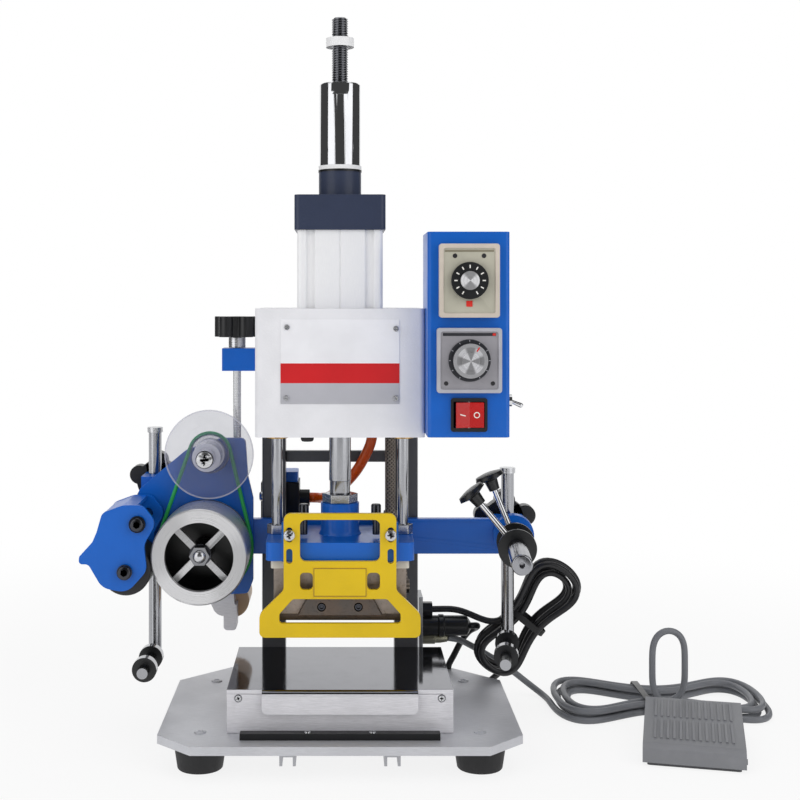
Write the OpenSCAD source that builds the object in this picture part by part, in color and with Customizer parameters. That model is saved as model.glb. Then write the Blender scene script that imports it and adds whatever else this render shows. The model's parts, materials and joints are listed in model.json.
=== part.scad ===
// Pneumatic hot foil stamping machine with foil feed and foot pedal.
// X to the right, Y to the back, Z up; the ram axis stands on the origin at floor level.

/* [Base] */
// Width of the base plate
base_w = 250; // [230:1:290]
// Depth of the base plate
base_d = 198; // [190:1:230]
// Thickness of the base plate
base_t = 6; // [4:0.5:8]
// Ram axis to the front edge of the base plate
base_front = 93; // [88:1:110]
// Corner cut at the front
front_chamfer = 25; // [10:1:30]
// Corner cut at the back
rear_chamfer = 40; // [20:1:44]
// Height of a rubber foot
foot_h = 18; // [14:1:26]
// Radius of a foot at the plate
foot_r = 18; // [14:0.5:20]
// Distance between the feet, left to right
foot_span_x = 192; // [180:1:200]
// Distance between the feet, front to back
foot_span_y = 125; // [110:1:130]
// Width of an underside rail
rail_w = 11; // [8:0.5:16]
// Height of an underside rail
rail_h = 8; // [5:0.5:11]

/* [Table] */
// Width of the work table
table_w = 155.5; // [140:0.5:165]
// Depth of the work table
table_d = 114; // [100:1:114]
// Height of the table block under its plate
table_h = 27; // [20:0.5:32]
// Thickness of the polished table plate
plate_t = 3; // [2:0.5:5]
// Width of the bent lip
lip_w = 107; // [80:1:130]
// Height of the bent lip
lip_h = 16; // [8:0.5:18]

/* [Head frame] */
// Side of a square post
post_w = 18; // [14:0.5:20]
// Post centre to the centre plane
post_x = 51; // [49:0.5:53]
// Width of the housing
housing_w = 119; // [116:0.5:126]
// Depth of the housing
housing_d = 120; // [116:1:130]
// Height of the housing
housing_h = 90; // [80:1:110]
// Underside of the housing above the floor
housing_z = 225; // [220:1:235]
// Sheet thickness of the housing
housing_wall = 2.5; // [1.5:0.5:4]
// Thickness of the guide plate
guide_t = 12; // [10:0.5:16]

/* [Cylinder] */
// Side of a cylinder cap
cap_w = 65; // [62:0.5:70]
// Height of a cylinder cap
cap_h = 25; // [20:1:30]
// Side of the profile barrel
barrel_w = 61; // [58:0.5:62]
// Length of the barrel
barrel_h = 109; // [95:1:120]
// Bore of the barrel
bore_d = 50; // [40:1:50]
// Piston rod diameter
rod_d = 16; // [12:0.5:18]
// Diameter of the stroke screw
screw_d = 12; // [8:0.5:14]
// Diameter of the stop sleeve
sleeve_d = 30; // [24:0.5:34]
// Length of the stop sleeve
sleeve_h = 60; // [40:1:70]
// Working stroke of the ram
stroke = 26.5; // [10:0.5:26.5]

/* [Ram] */
// Underside of the crosshead above the floor, raised
crosshead_z = 137; // [136:0.5:142]
// Width of the crosshead
crosshead_w = 105; // [102:0.5:112]
// Depth of the crosshead
crosshead_d = 78; // [70:1:80]
// Thickness of the crosshead
crosshead_t = 13; // [10:0.5:15]
// Guide rod diameter
guide_d = 8; // [6:0.5:10]
// Guide rod to the ram axis
guide_x = 46; // [44:0.5:47]
// Width of the heater block
heater_w = 94; // [76:1:98]
// Height of the heater block
heater_h = 32.5; // [26:0.5:34]
// Thickness of the insulation plate
insulation_t = 6; // [4:0.5:8]
// Thickness of the die plate
die_t = 4.5; // [3:0.5:6]
// Thickness of the finger guard
guard_t = 4; // [3:0.5:5]
// Width of the guard at its foot
guard_w = 113; // [104:1:124]

/* [Control box] */
// Width of the control box
control_w = 56; // [52:0.5:64]
// Depth of the control box
control_d = 53; // [40:1:64]
// Height of the control box
control_h = 140; // [136:1:160]
// Side of the temperature controller
temp_w = 44; // [40:0.5:46]
// Width of the timer
timer_w = 41; // [36:0.5:44]
// Height of the timer
timer_h = 50; // [44:0.5:52]

/* [Foil feed] */
// Feed drum radius
drum_r = 35; // [30:0.5:35.4]
// Feed drum length
drum_l = 48; // [40:1:50]
// Pinch roller radius
roller_r = 18; // [14:0.5:18.4]
// Take-up reel disc radius
reel_r = 33.5; // [26:0.5:34]
// Belt diameter
belt_d = 3; // [2:0.5:3.5]
// Thickness of the foil plate
foil_t = 6; // [4:0.5:8]
// Height of the foil bar
bar_h = 26.5; // [20:0.5:28]
// Foil spindle diameter
spindle_d = 14.5; // [12:0.5:16]
// Length of the foil spindle in front of its boss
spindle_l = 116; // [90:1:120]
// Inward turn of the foil spindle, in degrees
spindle_turn = 4.5; // [0:0.5:6]
// Foil guide rod diameter
foil_rod_d = 10; // [8:0.5:12]

/* [Pedal] */
// Width of the pedal
pedal_w = 69; // [64:1:80]
// Length of the pedal
pedal_l = 93; // [86:1:93]
// Height of the pedal at its back
pedal_h = 22; // [20:0.5:26]
// Turn of the pedal on the floor, in degrees
pedal_turn = -14; // [-20:1:0]

/* [Cords] */
// Diameter of the pedal cord and the mains lead
cord_d = 5; // [4:0.25:5]
// Diameter of the air hose
hose_d = 8; // [6:0.5:8]

/* [Hidden] */
$fn = 48;
// Running clearance of a shaft in its hole, on the radius
run = 0.05;
// Gap between pieces that pass each other
clear = 0.4;
// Small gap of a piece set in a pocket
seat = 0.2;

// Heights that build up from the floor
base_z = foot_h + base_t;
table_z = base_z + table_h;
table_top = table_z + plate_t;
base_rear = base_d - base_front;
table_front = -65;
foot_y = foot_span_y / 2;
post_y = table_front + 124;
post_front = post_y - post_w / 2;
post_back = post_y + post_w / 2;
housing_front = -48;
housing_back = housing_front + housing_d;
housing_top = housing_z + housing_h;
guide_z = housing_z + guide_t;
barrel_z = guide_z + cap_h;
rear_cap_z = barrel_z + barrel_h;
boss_d = sleeve_d + 1;
boss_h = 20;
bumper_h = 3;
bumper_z = rear_cap_z + cap_h + boss_h;
sleeve_z = bumper_z + bumper_h;
sleeve_top = sleeve_z + sleeve_h;
stop_z = sleeve_top + stroke + 0.6;
stop_h = 6.5;
stop_d = 20.5;
screw_end = stop_z + stop_h + 15;

// Ram pieces, stacked downward from the crosshead
crosshead_top = crosshead_z + crosshead_t;
boss_top = crosshead_top + 23;
rod_nut_h = 6.5;
neck_z = boss_top + rod_nut_h;
neck_h = 9.5;
piston_h = 20;
piston_z = rear_cap_z - piston_h - 1;
insulation_z = crosshead_z - insulation_t;
heater_z = insulation_z - heater_h;
die_z = heater_z - die_t;
heater_d = 66;
cartridge_d = 10;
clamp_t = 5.5;
guard_y = -crosshead_d / 2 - 2;
guard_slot_z = crosshead_z + 19.5;
guard_slot_x = 35.5;
guard_top = crosshead_z + 34.5;
guard_foot = crosshead_z - 52.5;
lead_x = 38;
lead_y = 30;
lead_d = 8;

// Control box places
control_x = housing_w / 2;
control_z = housing_z + 2.5;
control_front = -73;
control_mid = control_x + control_w / 2;
timer_z = control_z + control_h - 33.4;
temp_z = timer_z - 54;
switch_z = temp_z - 37;
switch_w = 25;
switch_h = 23;
bezel_t = 6;
rocker_tilt = 7;
toggle_y = -50;
toggle_z = switch_z + 8;
toggle_tilt = 22;

// Foil feed places, X and Z of each axis
bar_y = post_front - 8;
bar_z = 127;
foil_back = bar_y;
foil_front = foil_back - foil_t;
drum = [-102, 135];
drum_back = foil_front - 3;
drum_front = drum_back - drum_l;
groove_y = drum_back - 3;
groove_r = drum_r - 1.5;
reel = [-98.3, 205];
reel_pulley_r = 15;
reel_shaft_r = 4;
pivot = [-145.5, 160];
roller = [-154.6, 125.6];
pin_r = 4;
axle_r = 3;
pinch_wall = 3;
pinch_front = drum_front - 5;
pinch_back = drum_back;
motor = [-84, 88];
motor_r = 13.5;
motor_l = 37;
gearbox_t = 16;
spindle = [132, bar_z + 15];
boss_r = 15.5;
spindle_y = bar_y - foil_t;
left_post = [-144, foil_back + 20];
right_post = [130, bar_y + 16];
left_knob_z = 178;
right_knob_z = 146;
height_x = -78.4;
height_y = (foil_front + foil_back) / 2;
height_r = 3;
block_z = housing_z + 42.5;
block_h = 17;
foil_top = 216;

// Rear connections
bracket_x = 62;
bracket_t = 3;
bracket_y = 80;
coupler_z = 63;
connector_z = 53.3;
gland_z = 76;
gland_l = 8;
connector_l = 20;
valve_z = 150;

// Pedal places, in the pedal's own frame: X across, Y from its front edge
pedal_at = [242, -68];
pedal_wall = 2.5;
pedal_gap = 0.5;
pedal_pin = [10, 5];
pedal_pin_r = 2;

// Shape helpers

function unit(v) = v / norm(v);
function flat(p) = [p[0], p[1]];

// Arc that rounds corner b = [x, y, radius] between its neighbours
function fillet(a, b, c, steps = 6) =
    let (u = unit(flat(a) - flat(b)), v = unit(flat(c) - flat(b)), half = acos(u * v) / 2)
    let (centre = flat(b) + unit(u + v) * b[2] / sin(half))
    let (from = flat(b) + u * b[2] / tan(half) - centre)
    let (to = flat(b) + v * b[2] / tan(half) - centre)
    let (start = atan2(from[1], from[0]), turn = atan2(to[1], to[0]) - start)
    let (sweep = turn > 180 ? turn - 360 : turn < -180 ? turn + 360 : turn)
    b[2] == 0 ? [flat(b)]
    : [for (i = [0 : steps]) let (g = start + sweep * i / steps) centre + b[2] * [cos(g), sin(g)]];

// Closed outline of corners [x, y, radius]
function outline(p) = [for (i = [0 : len(p) - 1])
    each fillet(p[(i + len(p) - 1) % len(p)], p[i], p[(i + 1) % len(p)])];

module block(low, high) {
    translate(low) cube(high - low);
}

// A flat shape in X and Y, raised from z0 to z1
module along_z(x, y, z0, z1) {
    translate([x, y, z0]) linear_extrude(z1 - z0) children();
}

// A flat shape in X and Z, carried from y0 to y1
module along_y(x, z, y0, y1) {
    translate([x, y1, z]) rotate([90, 0, 0]) linear_extrude(y1 - y0) children();
}

// A flat shape in Y and Z, carried from x0 to x1
module along_x(y, z, x0, x1) {
    translate([x0, y, z]) rotate([90, 0, 90]) linear_extrude(x1 - x0) children();
}

// A profile of radius and Y, turned about an axis along Y
module turned_y(x, z) {
    translate([x, 0, z]) rotate([-90, 0, 0]) rotate_extrude() children();
}

module ring(outer, inner) {
    difference() {
        circle(outer);
        circle(inner);
    }
}

module hexagon(across) {
    circle(r = across / 2 / cos(30), $fn = 6);
}

module rounded_rect(w, h, r) {
    square([w - 2 * r, h], center = true);
    square([w, h - 2 * r], center = true);
    for (x = [-1, 1], y = [-1, 1]) translate([x * (w / 2 - r), y * (h / 2 - r)]) circle(r);
}

// Clamp knob outline with five lobes
module star(r) {
    circle(r * 0.72);
    for (a = [90 : 72 : 449]) rotate(a) translate([r * 0.68, 0]) circle(r * 0.32);
}

// Cord helpers

// Smooth curve through hand-chosen points, n steps between two of them
function between(a, b, c, d, t) = 0.5 * (2 * b + (c - a) * t + (2 * a - 5 * b + 4 * c - d) * t * t
    + (3 * b - a - 3 * c + d) * t * t * t);
function smooth(p, n) = let (last = len(p) - 1)
    [for (i = [0 : last - 1], j = [0 : n - 1])
        between(p[max(i - 1, 0)], p[i], p[i + 1], p[min(i + 2, last)], j / n), p[last]];

function headings(path, closed = false) = let (n = len(path))
    [for (i = [0 : n - 1]) unit(closed ? path[(i + 1) % n] - path[(i + n - 1) % n]
        : path[min(i + 1, n - 1)] - path[max(i - 1, 0)])];
function square_to(n, t) = unit(n - (n * t) * t);
function sides_of(t, n0) =
    [for (i = 0, n = square_to(n0, t[0]); i < len(t); i = i + 1,
        n = i < len(t) ? square_to(n, t[i]) : n) n];

// Round tube along a path, one ring of triangles after another; a closed one has no ends
module tube(path, r, sides, n0 = [0.3, 0.2, 1], closed = false) {
    t = headings(path, closed);
    n = sides_of(t, n0);
    rings = len(path);
    points = [for (i = [0 : rings - 1], k = [0 : sides - 1]) let (a = 360 * k / sides)
        path[i] + r * (cos(a) * n[i] + sin(a) * cross(t[i], n[i]))];
    function at(i, k) = (i % rings) * sides + k % sides;
    last = rings - 1;
    ends = [for (k = [1 : sides - 2]) each [[0, k, k + 1], [at(last, 0), at(last, k + 1), at(last, k)]]];
    skin = [for (i = [0 : rings - (closed ? 1 : 2)], k = [0 : sides - 1]) each [
        [at(i, k), at(i + 1, k), at(i + 1, k + 1)],
        [at(i, k), at(i + 1, k + 1), at(i, k + 1)]]];
    polyhedron(points, closed ? skin : concat(ends, skin));
}

// Base and table

foot_spots = [for (x = [-1, 1], y = [0, 1]) [x * foot_span_x / 2, foot_y - y * foot_span_y]];
foot_bolt_r = 2.75;

module base_plate() {
    w = base_w / 2;
    f = -base_front;
    color("gainsboro") difference() {
        along_z(0, 0, foot_h, base_z) polygon([[-w + front_chamfer, f], [w - front_chamfer, f],
            [w, f + front_chamfer], [w, base_rear - rear_chamfer], [w - rear_chamfer, base_rear],
            [-w + rear_chamfer, base_rear], [-w, base_rear - rear_chamfer], [-w, f + front_chamfer]]);
        for (p = foot_spots) translate([p[0], p[1], foot_h - 1]) cylinder(base_t + 2, r = foot_bolt_r);
    }
}

module rubber_feet() {
    color("#1b1b1d") for (p = foot_spots) translate(p) rotate_extrude() polygon([
        [foot_bolt_r, foot_h], [foot_bolt_r, 0], [foot_r * 0.84, 0], [foot_r * 0.87, 1],
        [foot_r, foot_h - 1.5], [foot_r - 0.5, foot_h]]);
}

module base_rails() {
    wall = 2;
    color("silver") for (x = [-35, 35]) difference() {
        block([x - rail_w / 2, -base_front + 3, foot_h - rail_h], [x + rail_w / 2, base_rear - 20, foot_h]);
        block([x - rail_w / 2 + wall, -base_front, foot_h - rail_h - 1],
            [x + rail_w / 2 - wall, base_rear, foot_h - wall]);
    }
}

module front_strip() {
    strip_w = 135.5;
    strip_h = 4.5;
    color("#161618") difference() {
        block([-strip_w / 2, table_front - 15, base_z], [strip_w / 2, table_front - 8, base_z + strip_h]);
        for (x = [-22, 22]) translate([x, table_front - 11.5, base_z + strip_h - 1]) cylinder(2, r = 2.4);
    }
}

module table_block() {
    color("#c9cbcd") difference() {
        block([-table_w / 2, table_front, base_z], [table_w / 2, table_front + table_d, table_z]);
        for (x = [8 - table_w / 2, table_w / 2 - 8])
            along_y(x, table_z - 3.2, table_front - 1, table_front + 3) circle(2.6);
    }
}

// Polished plate whose middle bends down over the front of the block
module table_plate() {
    bend = plate_t + 1.5;
    module side() {
        translate([0, -plate_t]) square([table_d, plate_t]);
        intersection() {
            translate([0, -bend]) ring(bend, bend - plate_t);
            translate([-bend, -bend]) square(bend);
        }
        translate([-bend, -lip_h]) square([plate_t, lip_h - bend]);
    }
    color("lightgray") union() {
        block([-table_w / 2, table_front, table_z], [table_w / 2, table_front + table_d, table_top]);
        intersection() {
            along_x(table_front, table_top, -lip_w / 2, lip_w / 2) side();
            along_y(0, table_top, table_front - bend - 1, table_front + table_d) union() {
                translate([-lip_w / 2, 4 - lip_h]) square([lip_w, lip_h]);
                translate([4 - lip_w / 2, -lip_h]) square([lip_w - 8, 5]);
                for (x = [-1, 1]) translate([x * (lip_w / 2 - 4), 4 - lip_h]) circle(4);
            }
        }
    }
}

// Head frame and cylinder

module support_posts() {
    bar_low = housing_z - 29.4;
    color("dimgray") {
        for (x = [-post_x, post_x])
            along_z(x, post_y, base_z, housing_z) rounded_rect(post_w, post_w, 1.5);
        block([post_w / 2 - post_x + run, post_y - 4, bar_low],
            [post_x - post_w / 2 - run, post_y + 4, bar_low + 8.5]);
    }
}

module housing() {
    mid = (housing_front + housing_back) / 2;
    opening = barrel_w + 2 * clear;
    label_at = [[-37, 32], [39, 31], [-37.5, -17.5], [39, -17.5]];
    color("whitesmoke") difference() {
        along_z(0, mid, housing_z, housing_top) rounded_rect(housing_w, housing_d, 4);
        along_z(0, mid, housing_z - 1, housing_top - housing_wall)
            rounded_rect(housing_w - 2 * housing_wall, housing_d - 2 * housing_wall, 1.5);
        along_z(0, 0, guide_z, housing_top + 1) square(opening, center = true);
        for (p = label_at) along_y(p[0], housing_z + housing_h / 2 + p[1], housing_front - 1,
            housing_front + housing_wall + 1) circle(1.5);
    }
}

module guide_plate() {
    inner_w = housing_w - 2 * housing_wall - 2 * seat;
    inner_d = housing_d - 2 * housing_wall - 2 * seat;
    mid = (housing_front + housing_back) / 2;
    bush_r = guide_d / 2 + 4;
    color("gainsboro") difference() {
        along_z(0, mid, housing_z, guide_z) rounded_rect(inner_w, inner_d, 1.5);
        translate([0, 0, housing_z - 1]) cylinder(guide_t + 2, r = rod_d / 2 + clear);
        for (x = [-guide_x, guide_x]) translate([x, 0, housing_z - 1]) cylinder(guide_t + 2, r = bush_r);
        translate([lead_x, lead_y, housing_z - 1]) cylinder(guide_t + 2, r = lead_d / 2 + clear);
        translate([hose_at[0], hose_at[1], housing_z - 1]) cylinder(hose_pocket + 1, r = hose_d / 2 + seat);
    }
    color("darkgoldenrod") for (x = [-guide_x, guide_x]) along_z(x, 0, housing_z - 5, guide_z)
        ring(bush_r - run, guide_d / 2 + run);
}

module cylinder_caps() {
    hole = 3.5;
    spot = cap_w / 2 - 8.5;
    module cap(z) {
        along_z(0, 0, z, z + cap_h) rounded_rect(cap_w, cap_w, 4);
    }
    color("#343c50") {
        difference() {
            cap(guide_z);
            translate([0, 0, guide_z - 1]) cylinder(cap_h + 2, r = rod_d / 2 + run);
        }
        difference() {
            union() {
                cap(rear_cap_z);
                translate([0, 0, rear_cap_z + cap_h]) cylinder(boss_h, d = boss_d);
            }
            translate([0, 0, rear_cap_z - 1]) cylinder(cap_h + boss_h + 2, r = screw_d / 2 + run);
            for (x = [-spot, spot], y = [-spot, spot])
                translate([x, y, rear_cap_z + cap_h - 7]) cylinder(8, r = hole);
        }
    }
}

// Extruded barrel with its side grooves and round bore
module barrel() {
    groove = [6.5, 2.2];
    mark = [1.2, 0.8];
    color("#e4e6e8") along_z(0, 0, barrel_z, rear_cap_z) difference() {
        rounded_rect(barrel_w, barrel_w, 3);
        circle(d = bore_d);
        for (a = [0 : 90 : 270]) rotate(a) {
            for (x = [-21, 21])
                translate([x - groove[0] / 2, -barrel_w / 2 - 1]) square([groove[0], groove[1] + 1]);
            translate([-mark[0] / 2, -barrel_w / 2 - 1]) square([mark[0], mark[1] + 1]);
        }
    }
}

// Chrome sleeve that the stop nut meets, on a white bumper ring
module stop_sleeve() {
    flat_h = 9;
    color("white") along_z(0, 0, bumper_z, sleeve_z - run) ring(boss_d / 2 + 0.25, screw_d / 2 + clear);
    color("silver") difference() {
        translate([0, 0, sleeve_z]) rotate_extrude() polygon([[screw_d / 2 + clear, 0], [sleeve_d / 2, 0],
            [sleeve_d / 2, sleeve_h - 1], [sleeve_d / 2 - 1, sleeve_h], [screw_d / 2 + clear, sleeve_h]]);
        for (y = [-1, 1]) translate([0, y * (sleeve_d - 1.5), sleeve_top - flat_h / 2 + 0.5])
            cube([sleeve_d + 2, sleeve_d, flat_h + 1], center = true);
    }
}

// Ram

module piston_rod() {
    color("silver") {
        union() {
            translate([0, 0, neck_z + neck_h]) cylinder(piston_z - neck_z - neck_h - run, d = rod_d);
            intersection() {
                translate([0, 0, neck_z]) cylinder(neck_h, d = rod_d - 1);
                block([-rod_d, -rod_d / 2 + 1.5, neck_z], [rod_d, rod_d / 2 - 1.5, neck_z + neck_h]);
            }
            translate([0, 0, crosshead_top - 10]) cylinder(neck_z - crosshead_top + 10, d = screw_d);
        }
    }
    color("dimgray") translate([0, 0, piston_z]) cylinder(piston_h, r = bore_d / 2 - run);
}

module stroke_screw() {
    length = screw_end - piston_z - piston_h;
    color("#2a2a2c") translate([0, 0, piston_z + piston_h]) rotate_extrude() polygon([[0, 0],
        [screw_d / 2, 0], [screw_d / 2, length - 1.5], [screw_d / 2 - 1.5, length], [0, length]]);
    color("whitesmoke") along_z(0, 0, stop_z, stop_z + stop_h) ring(stop_d / 2, screw_d / 2 + run);
}

// Nuts and screws that hold the ram together
module ram_fasteners() {
    nut_h = 7;
    color("silver") {
        along_z(0, 0, boss_top, neck_z) difference() {
            hexagon(22.7);
            circle(d = screw_d);
        }
        for (x = [-guide_x, guide_x]) along_z(x, 0, crosshead_top, crosshead_top + nut_h) difference() {
            hexagon(13);
            circle(d = guide_d);
        }
        for (x = [-guard_slot_x, guard_slot_x]) {
            along_y(x, guard_slot_z, guard_y - guard_t - 3, guard_y - guard_t) circle(4);
            along_y(x, guard_slot_z, guard_y - guard_t, guard_y + 4) circle(2);
        }
    }
}

module crosshead() {
    tab_w = 11;
    tab_t = 5;
    color("royalblue") difference() {
        union() {
            along_z(0, 0, crosshead_z, crosshead_top) rounded_rect(crosshead_w, crosshead_d, 5);
            translate([0, 0, crosshead_top]) rotate_extrude() polygon([[0, 0], [15.5, 0], [14, 3],
                [14, boss_top - crosshead_top], [0, boss_top - crosshead_top]]);
            for (x = [-guard_slot_x, guard_slot_x]) block([x - tab_w / 2, guard_y, crosshead_z],
                [x + tab_w / 2, guard_y + tab_t, guard_slot_z + 8]);
        }
        translate([0, 0, crosshead_top - 10]) cylinder(60, r = screw_d / 2 + run);
        for (x = [-guide_x, guide_x])
            translate([x, 0, crosshead_z - 1]) cylinder(crosshead_t + 2, d = guide_d);
        for (x = [-guard_slot_x, guard_slot_x]) along_y(x, guard_slot_z, guard_y - 1, guard_y + 4) circle(2);
        translate([lead_x, lead_y, crosshead_top - 6]) cylinder(7, d = lead_d);
    }
}

module guide_rods() {
    length = guide_z + stroke + 26 - crosshead_z;
    color("silver") for (x = [-guide_x, guide_x])
        translate([x, 0, crosshead_z]) rotate_extrude() polygon([[0, 0], [guide_d / 2, 0],
            [guide_d / 2, length - 1], [guide_d / 2 - 1, length], [0, length]]);
}

module insulation_plate() {
    color("#cfc6b4") along_z(0, 0, insulation_z, crosshead_z) rounded_rect(heater_w + 4, heater_d + 4, 2);
}

cartridge_y = 16;
cartridge_z = heater_z + heater_h / 2;

module heater_block() {
    color("#8c857c") difference() {
        block([-heater_w / 2, -heater_d / 2, heater_z], [heater_w / 2, heater_d / 2, insulation_z]);
        for (y = [-cartridge_y, cartridge_y])
            along_x(y, cartridge_z, -heater_w / 2 - 1, heater_w / 2 + 1) circle(d = cartridge_d);
    }
}

// Two heater cartridges and the braided lead that slides up through the guide plate
module heater_lead() {
    tail = 3;
    lead_top = guide_z + stroke + 12;
    color("#b9b3a8") for (y = [-cartridge_y, cartridge_y])
        along_x(y, cartridge_z, -heater_w / 2, heater_w / 2 + tail) circle(d = cartridge_d);
    color("#8d7d68") {
        translate([lead_x, lead_y, crosshead_top - 6]) cylinder(lead_top - crosshead_top + 6, d = lead_d);
        translate([lead_x, lead_y, crosshead_top]) cylinder(12, d1 = lead_d + 5, d2 = lead_d + 2);
    }
}

// Bolster plate under the heater with the clamp bar in front of it
module die_plate() {
    bar_w = 59;
    bar_top = heater_z + 12;
    color("#6f685f") difference() {
        block([-heater_w / 2, -heater_d / 2, die_z], [heater_w / 2, heater_d / 2, heater_z]);
        for (y = [-18, 0, 18])
            block([-heater_w / 2 - 1, y - 2.5, die_z - 1], [heater_w / 2 + 1, y + 2.5, die_z + 1.5]);
    }
    color("#85796b") difference() {
        along_y(0, 0, -heater_d / 2 - clamp_t, -heater_d / 2) polygon(outline([[-bar_w / 2, heater_z, 0],
            [bar_w / 2, heater_z, 0], [bar_w / 2 - 6, bar_top, 2], [6 - bar_w / 2, bar_top, 2]]));
        for (x = [-13, 13])
            along_y(x, heater_z + 6, -heater_d / 2 - clamp_t - 1, -heater_d / 2 - clamp_t + 2) circle(3);
    }
}

// Finger guard: upper frame on the crosshead tabs, splayed skirt below
module guard() {
    bar = 11.5;
    top_half = guard_slot_x + 4;
    foot_half = guard_w / 2;
    waist = crosshead_z - 5.5;
    spread = crosshead_z - 36;
    cross_z = crosshead_z + 1;
    sign_half = 19;
    shelf = [waist - 20, waist - 13.5];
    knee = waist - 14;
    foot_open = guard_foot + 10;
    top_open = top_half - 6.5;
    low_open = foot_half - 14;
    color("gold") along_y(0, 0, guard_y - guard_t, guard_y) difference() {
        polygon(outline([[-top_half, guard_top, 5], [top_half, guard_top, 5], [top_half, knee, 6],
            [foot_half, spread, 8], [foot_half, guard_foot, 4], [-foot_half, guard_foot, 4],
            [-foot_half, spread, 8], [-top_half, knee, 6]]));
        polygon(outline([[bar - top_half, guard_top - 4.5, 4], [top_half - bar, guard_top - 4.5, 4],
            [top_half - bar, cross_z, 4], [bar - top_half, cross_z, 4]]));
        for (side = [0, 1]) mirror([side, 0]) polygon(outline([[sign_half, waist - 1.5, 3],
            [top_half - bar, waist - 1.5, 3], [top_half - bar, shelf[1], 3], [sign_half, shelf[1], 3]]));
        polygon(outline([[-top_open, shelf[0], 3], [top_open, shelf[0], 3], [low_open, spread, 3],
            [low_open, foot_open, 2], [-low_open, foot_open, 2], [-low_open, spread, 3]]));
        for (x = [-guard_slot_x, guard_slot_x], z = [0, -15]) translate([x, guard_slot_z + z]) {
            square([4.4, 6], center = true);
            for (e = [-3, 3]) translate([0, e]) circle(2.2);
        }
    }
}

// Control box and its instruments

pocket_l = 20;
control_r = 3;
control_wall = 2;
shaft_r = 2;
timer_dial_r = 12.6;
temp_knob_r = 11.8;
rocker_w = 19.2;
rocker_h = 17;
rocker_y = control_front - 1.5;
toggle_x = control_x + control_w;
toggle_bore = 2.7;
rocker_pin_r = 1;
toggle_pin_r = 0.5;

module control_box() {
    mid = control_front + control_d / 2;
    inner_w = control_w - 2 * control_wall;
    inner_d = control_d - 2 * control_wall;
    color("royalblue") difference() {
        along_z(control_mid, mid, control_z, control_z + control_h)
            rounded_rect(control_w, control_d, control_r);
        along_z(control_mid, mid, control_z + control_wall, control_z + control_h - control_wall)
            rounded_rect(inner_w, inner_d, control_r - control_wall);
        along_y(control_mid, timer_z, control_front - 1, control_front + pocket_l)
            square([timer_w - 5, timer_h - 5], center = true);
        along_y(control_mid, temp_z, control_front - 1, control_front + pocket_l)
            square([temp_w - 5, temp_w - 5], center = true);
        along_y(control_mid, switch_z, control_front - 1, control_front + pocket_l)
            square([rocker_w + 2, rocker_h + 2 * clear], center = true);
        along_x(toggle_y, toggle_z, toggle_x - pocket_l, toggle_x + 1) circle(toggle_bore);
    }
}

// Square instrument: bezel outside, body in its pocket, shaft hole in the middle
module instrument(z, w, h, rim) {
    face = control_front - bezel_t;
    difference() {
        union() {
            along_y(control_mid, z, face, control_front) rounded_rect(w, h, 2);
            along_y(control_mid, z, control_front, control_front + pocket_l - seat)
                square([w - 5 - 2 * seat, h - 5 - 2 * seat], center = true);
        }
        along_y(control_mid, z, face - 1, face + 1) rounded_rect(w - 2 * rim, h - 2 * rim, 1.5);
        along_y(control_mid, z, face - 1, control_front + 6) circle(shaft_r + run);
    }
}

module timer() {
    color("#cfc4a8") instrument(timer_z, timer_w, timer_h, 3);
}

module temp_controller() {
    face = control_front - bezel_t;
    color("#b9bcbf") {
        instrument(temp_z, temp_w, temp_w, 2.5);
        along_y(control_mid, temp_z, face - 0.6, face + 1) ring(14.3, shaft_r + 1);
    }
}

module switch_bezels() {
    color("#18181a") along_y(control_mid, switch_z, control_front - 2.5, control_front) difference() {
        rounded_rect(switch_w, switch_h, 2);
        square([rocker_w + 2, rocker_h + 2 * clear], center = true);
    }
    color("silver") {
        translate([control_mid, rocker_y, switch_z - rocker_h / 2 - clear])
            cylinder(rocker_h + 2 * clear, r = rocker_pin_r);
        along_x(toggle_y, toggle_z, toggle_x, toggle_x + 4) ring(4.2, toggle_bore);
        along_y(toggle_x + 2, toggle_z, toggle_y - toggle_bore - 1, toggle_y + toggle_bore + 1)
            circle(toggle_pin_r);
    }
}

// Knob of an instrument with a chrome cap, turning on its shaft
module instrument_knob(z, r, face, depth) {
    along_y(control_mid, z, face - depth, face) circle(r);
    along_y(control_mid, z, face - depth - 2, face - depth) circle(r * 0.5);
    along_y(control_mid, z, face, control_front + 5) circle(shaft_r);
}

module timer_dial() {
    color("#1a1a1c") instrument_knob(timer_z, timer_dial_r, control_front - bezel_t + 1 - clear, 4);
}

module temp_knob() {
    color("silver") instrument_knob(temp_z, temp_knob_r, control_front - bezel_t - 0.6 - clear, 7);
}

module rocker() {
    half = rocker_w / 2;
    color("crimson") translate([control_mid, rocker_y, switch_z - rocker_h / 2]) rotate([0, 0, rocker_tilt])
        linear_extrude(rocker_h) difference() {
            polygon([[-half, -3.6], [0, -2.2], [half, -3.6], [half - 1.2, 4], [1.2 - half, 4]]);
            circle(rocker_pin_r + run);
        }
}

module toggle_lever() {
    length = 9;
    color("silver") difference() {
        translate([toggle_x + 2, toggle_y, toggle_z]) rotate([0, 90 + toggle_tilt, 0]) {
            sphere(toggle_bore - 0.35);
            cylinder(length, r1 = 1.2, r2 = 1.7);
            translate([0, 0, length]) sphere(1.7);
        }
        along_y(toggle_x + 2, toggle_z, toggle_y - toggle_bore, toggle_y + toggle_bore)
            circle(toggle_pin_r + run);
    }
}

// Foil feed

drum_shaft_r = 5;

module foil_bar() {
    low = [-78, bar_y, bar_z];
    color("royalblue") difference() {
        union() {
            block(low, [spindle[0], bar_y + 8, bar_z + bar_h]);
            spindle_frame() along_y(0, 0, 0, 10) circle(boss_r);
        }
        spindle_frame() along_y(0, 0, -1, 9) circle(spindle_d / 2 + run);
    }
}

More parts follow.
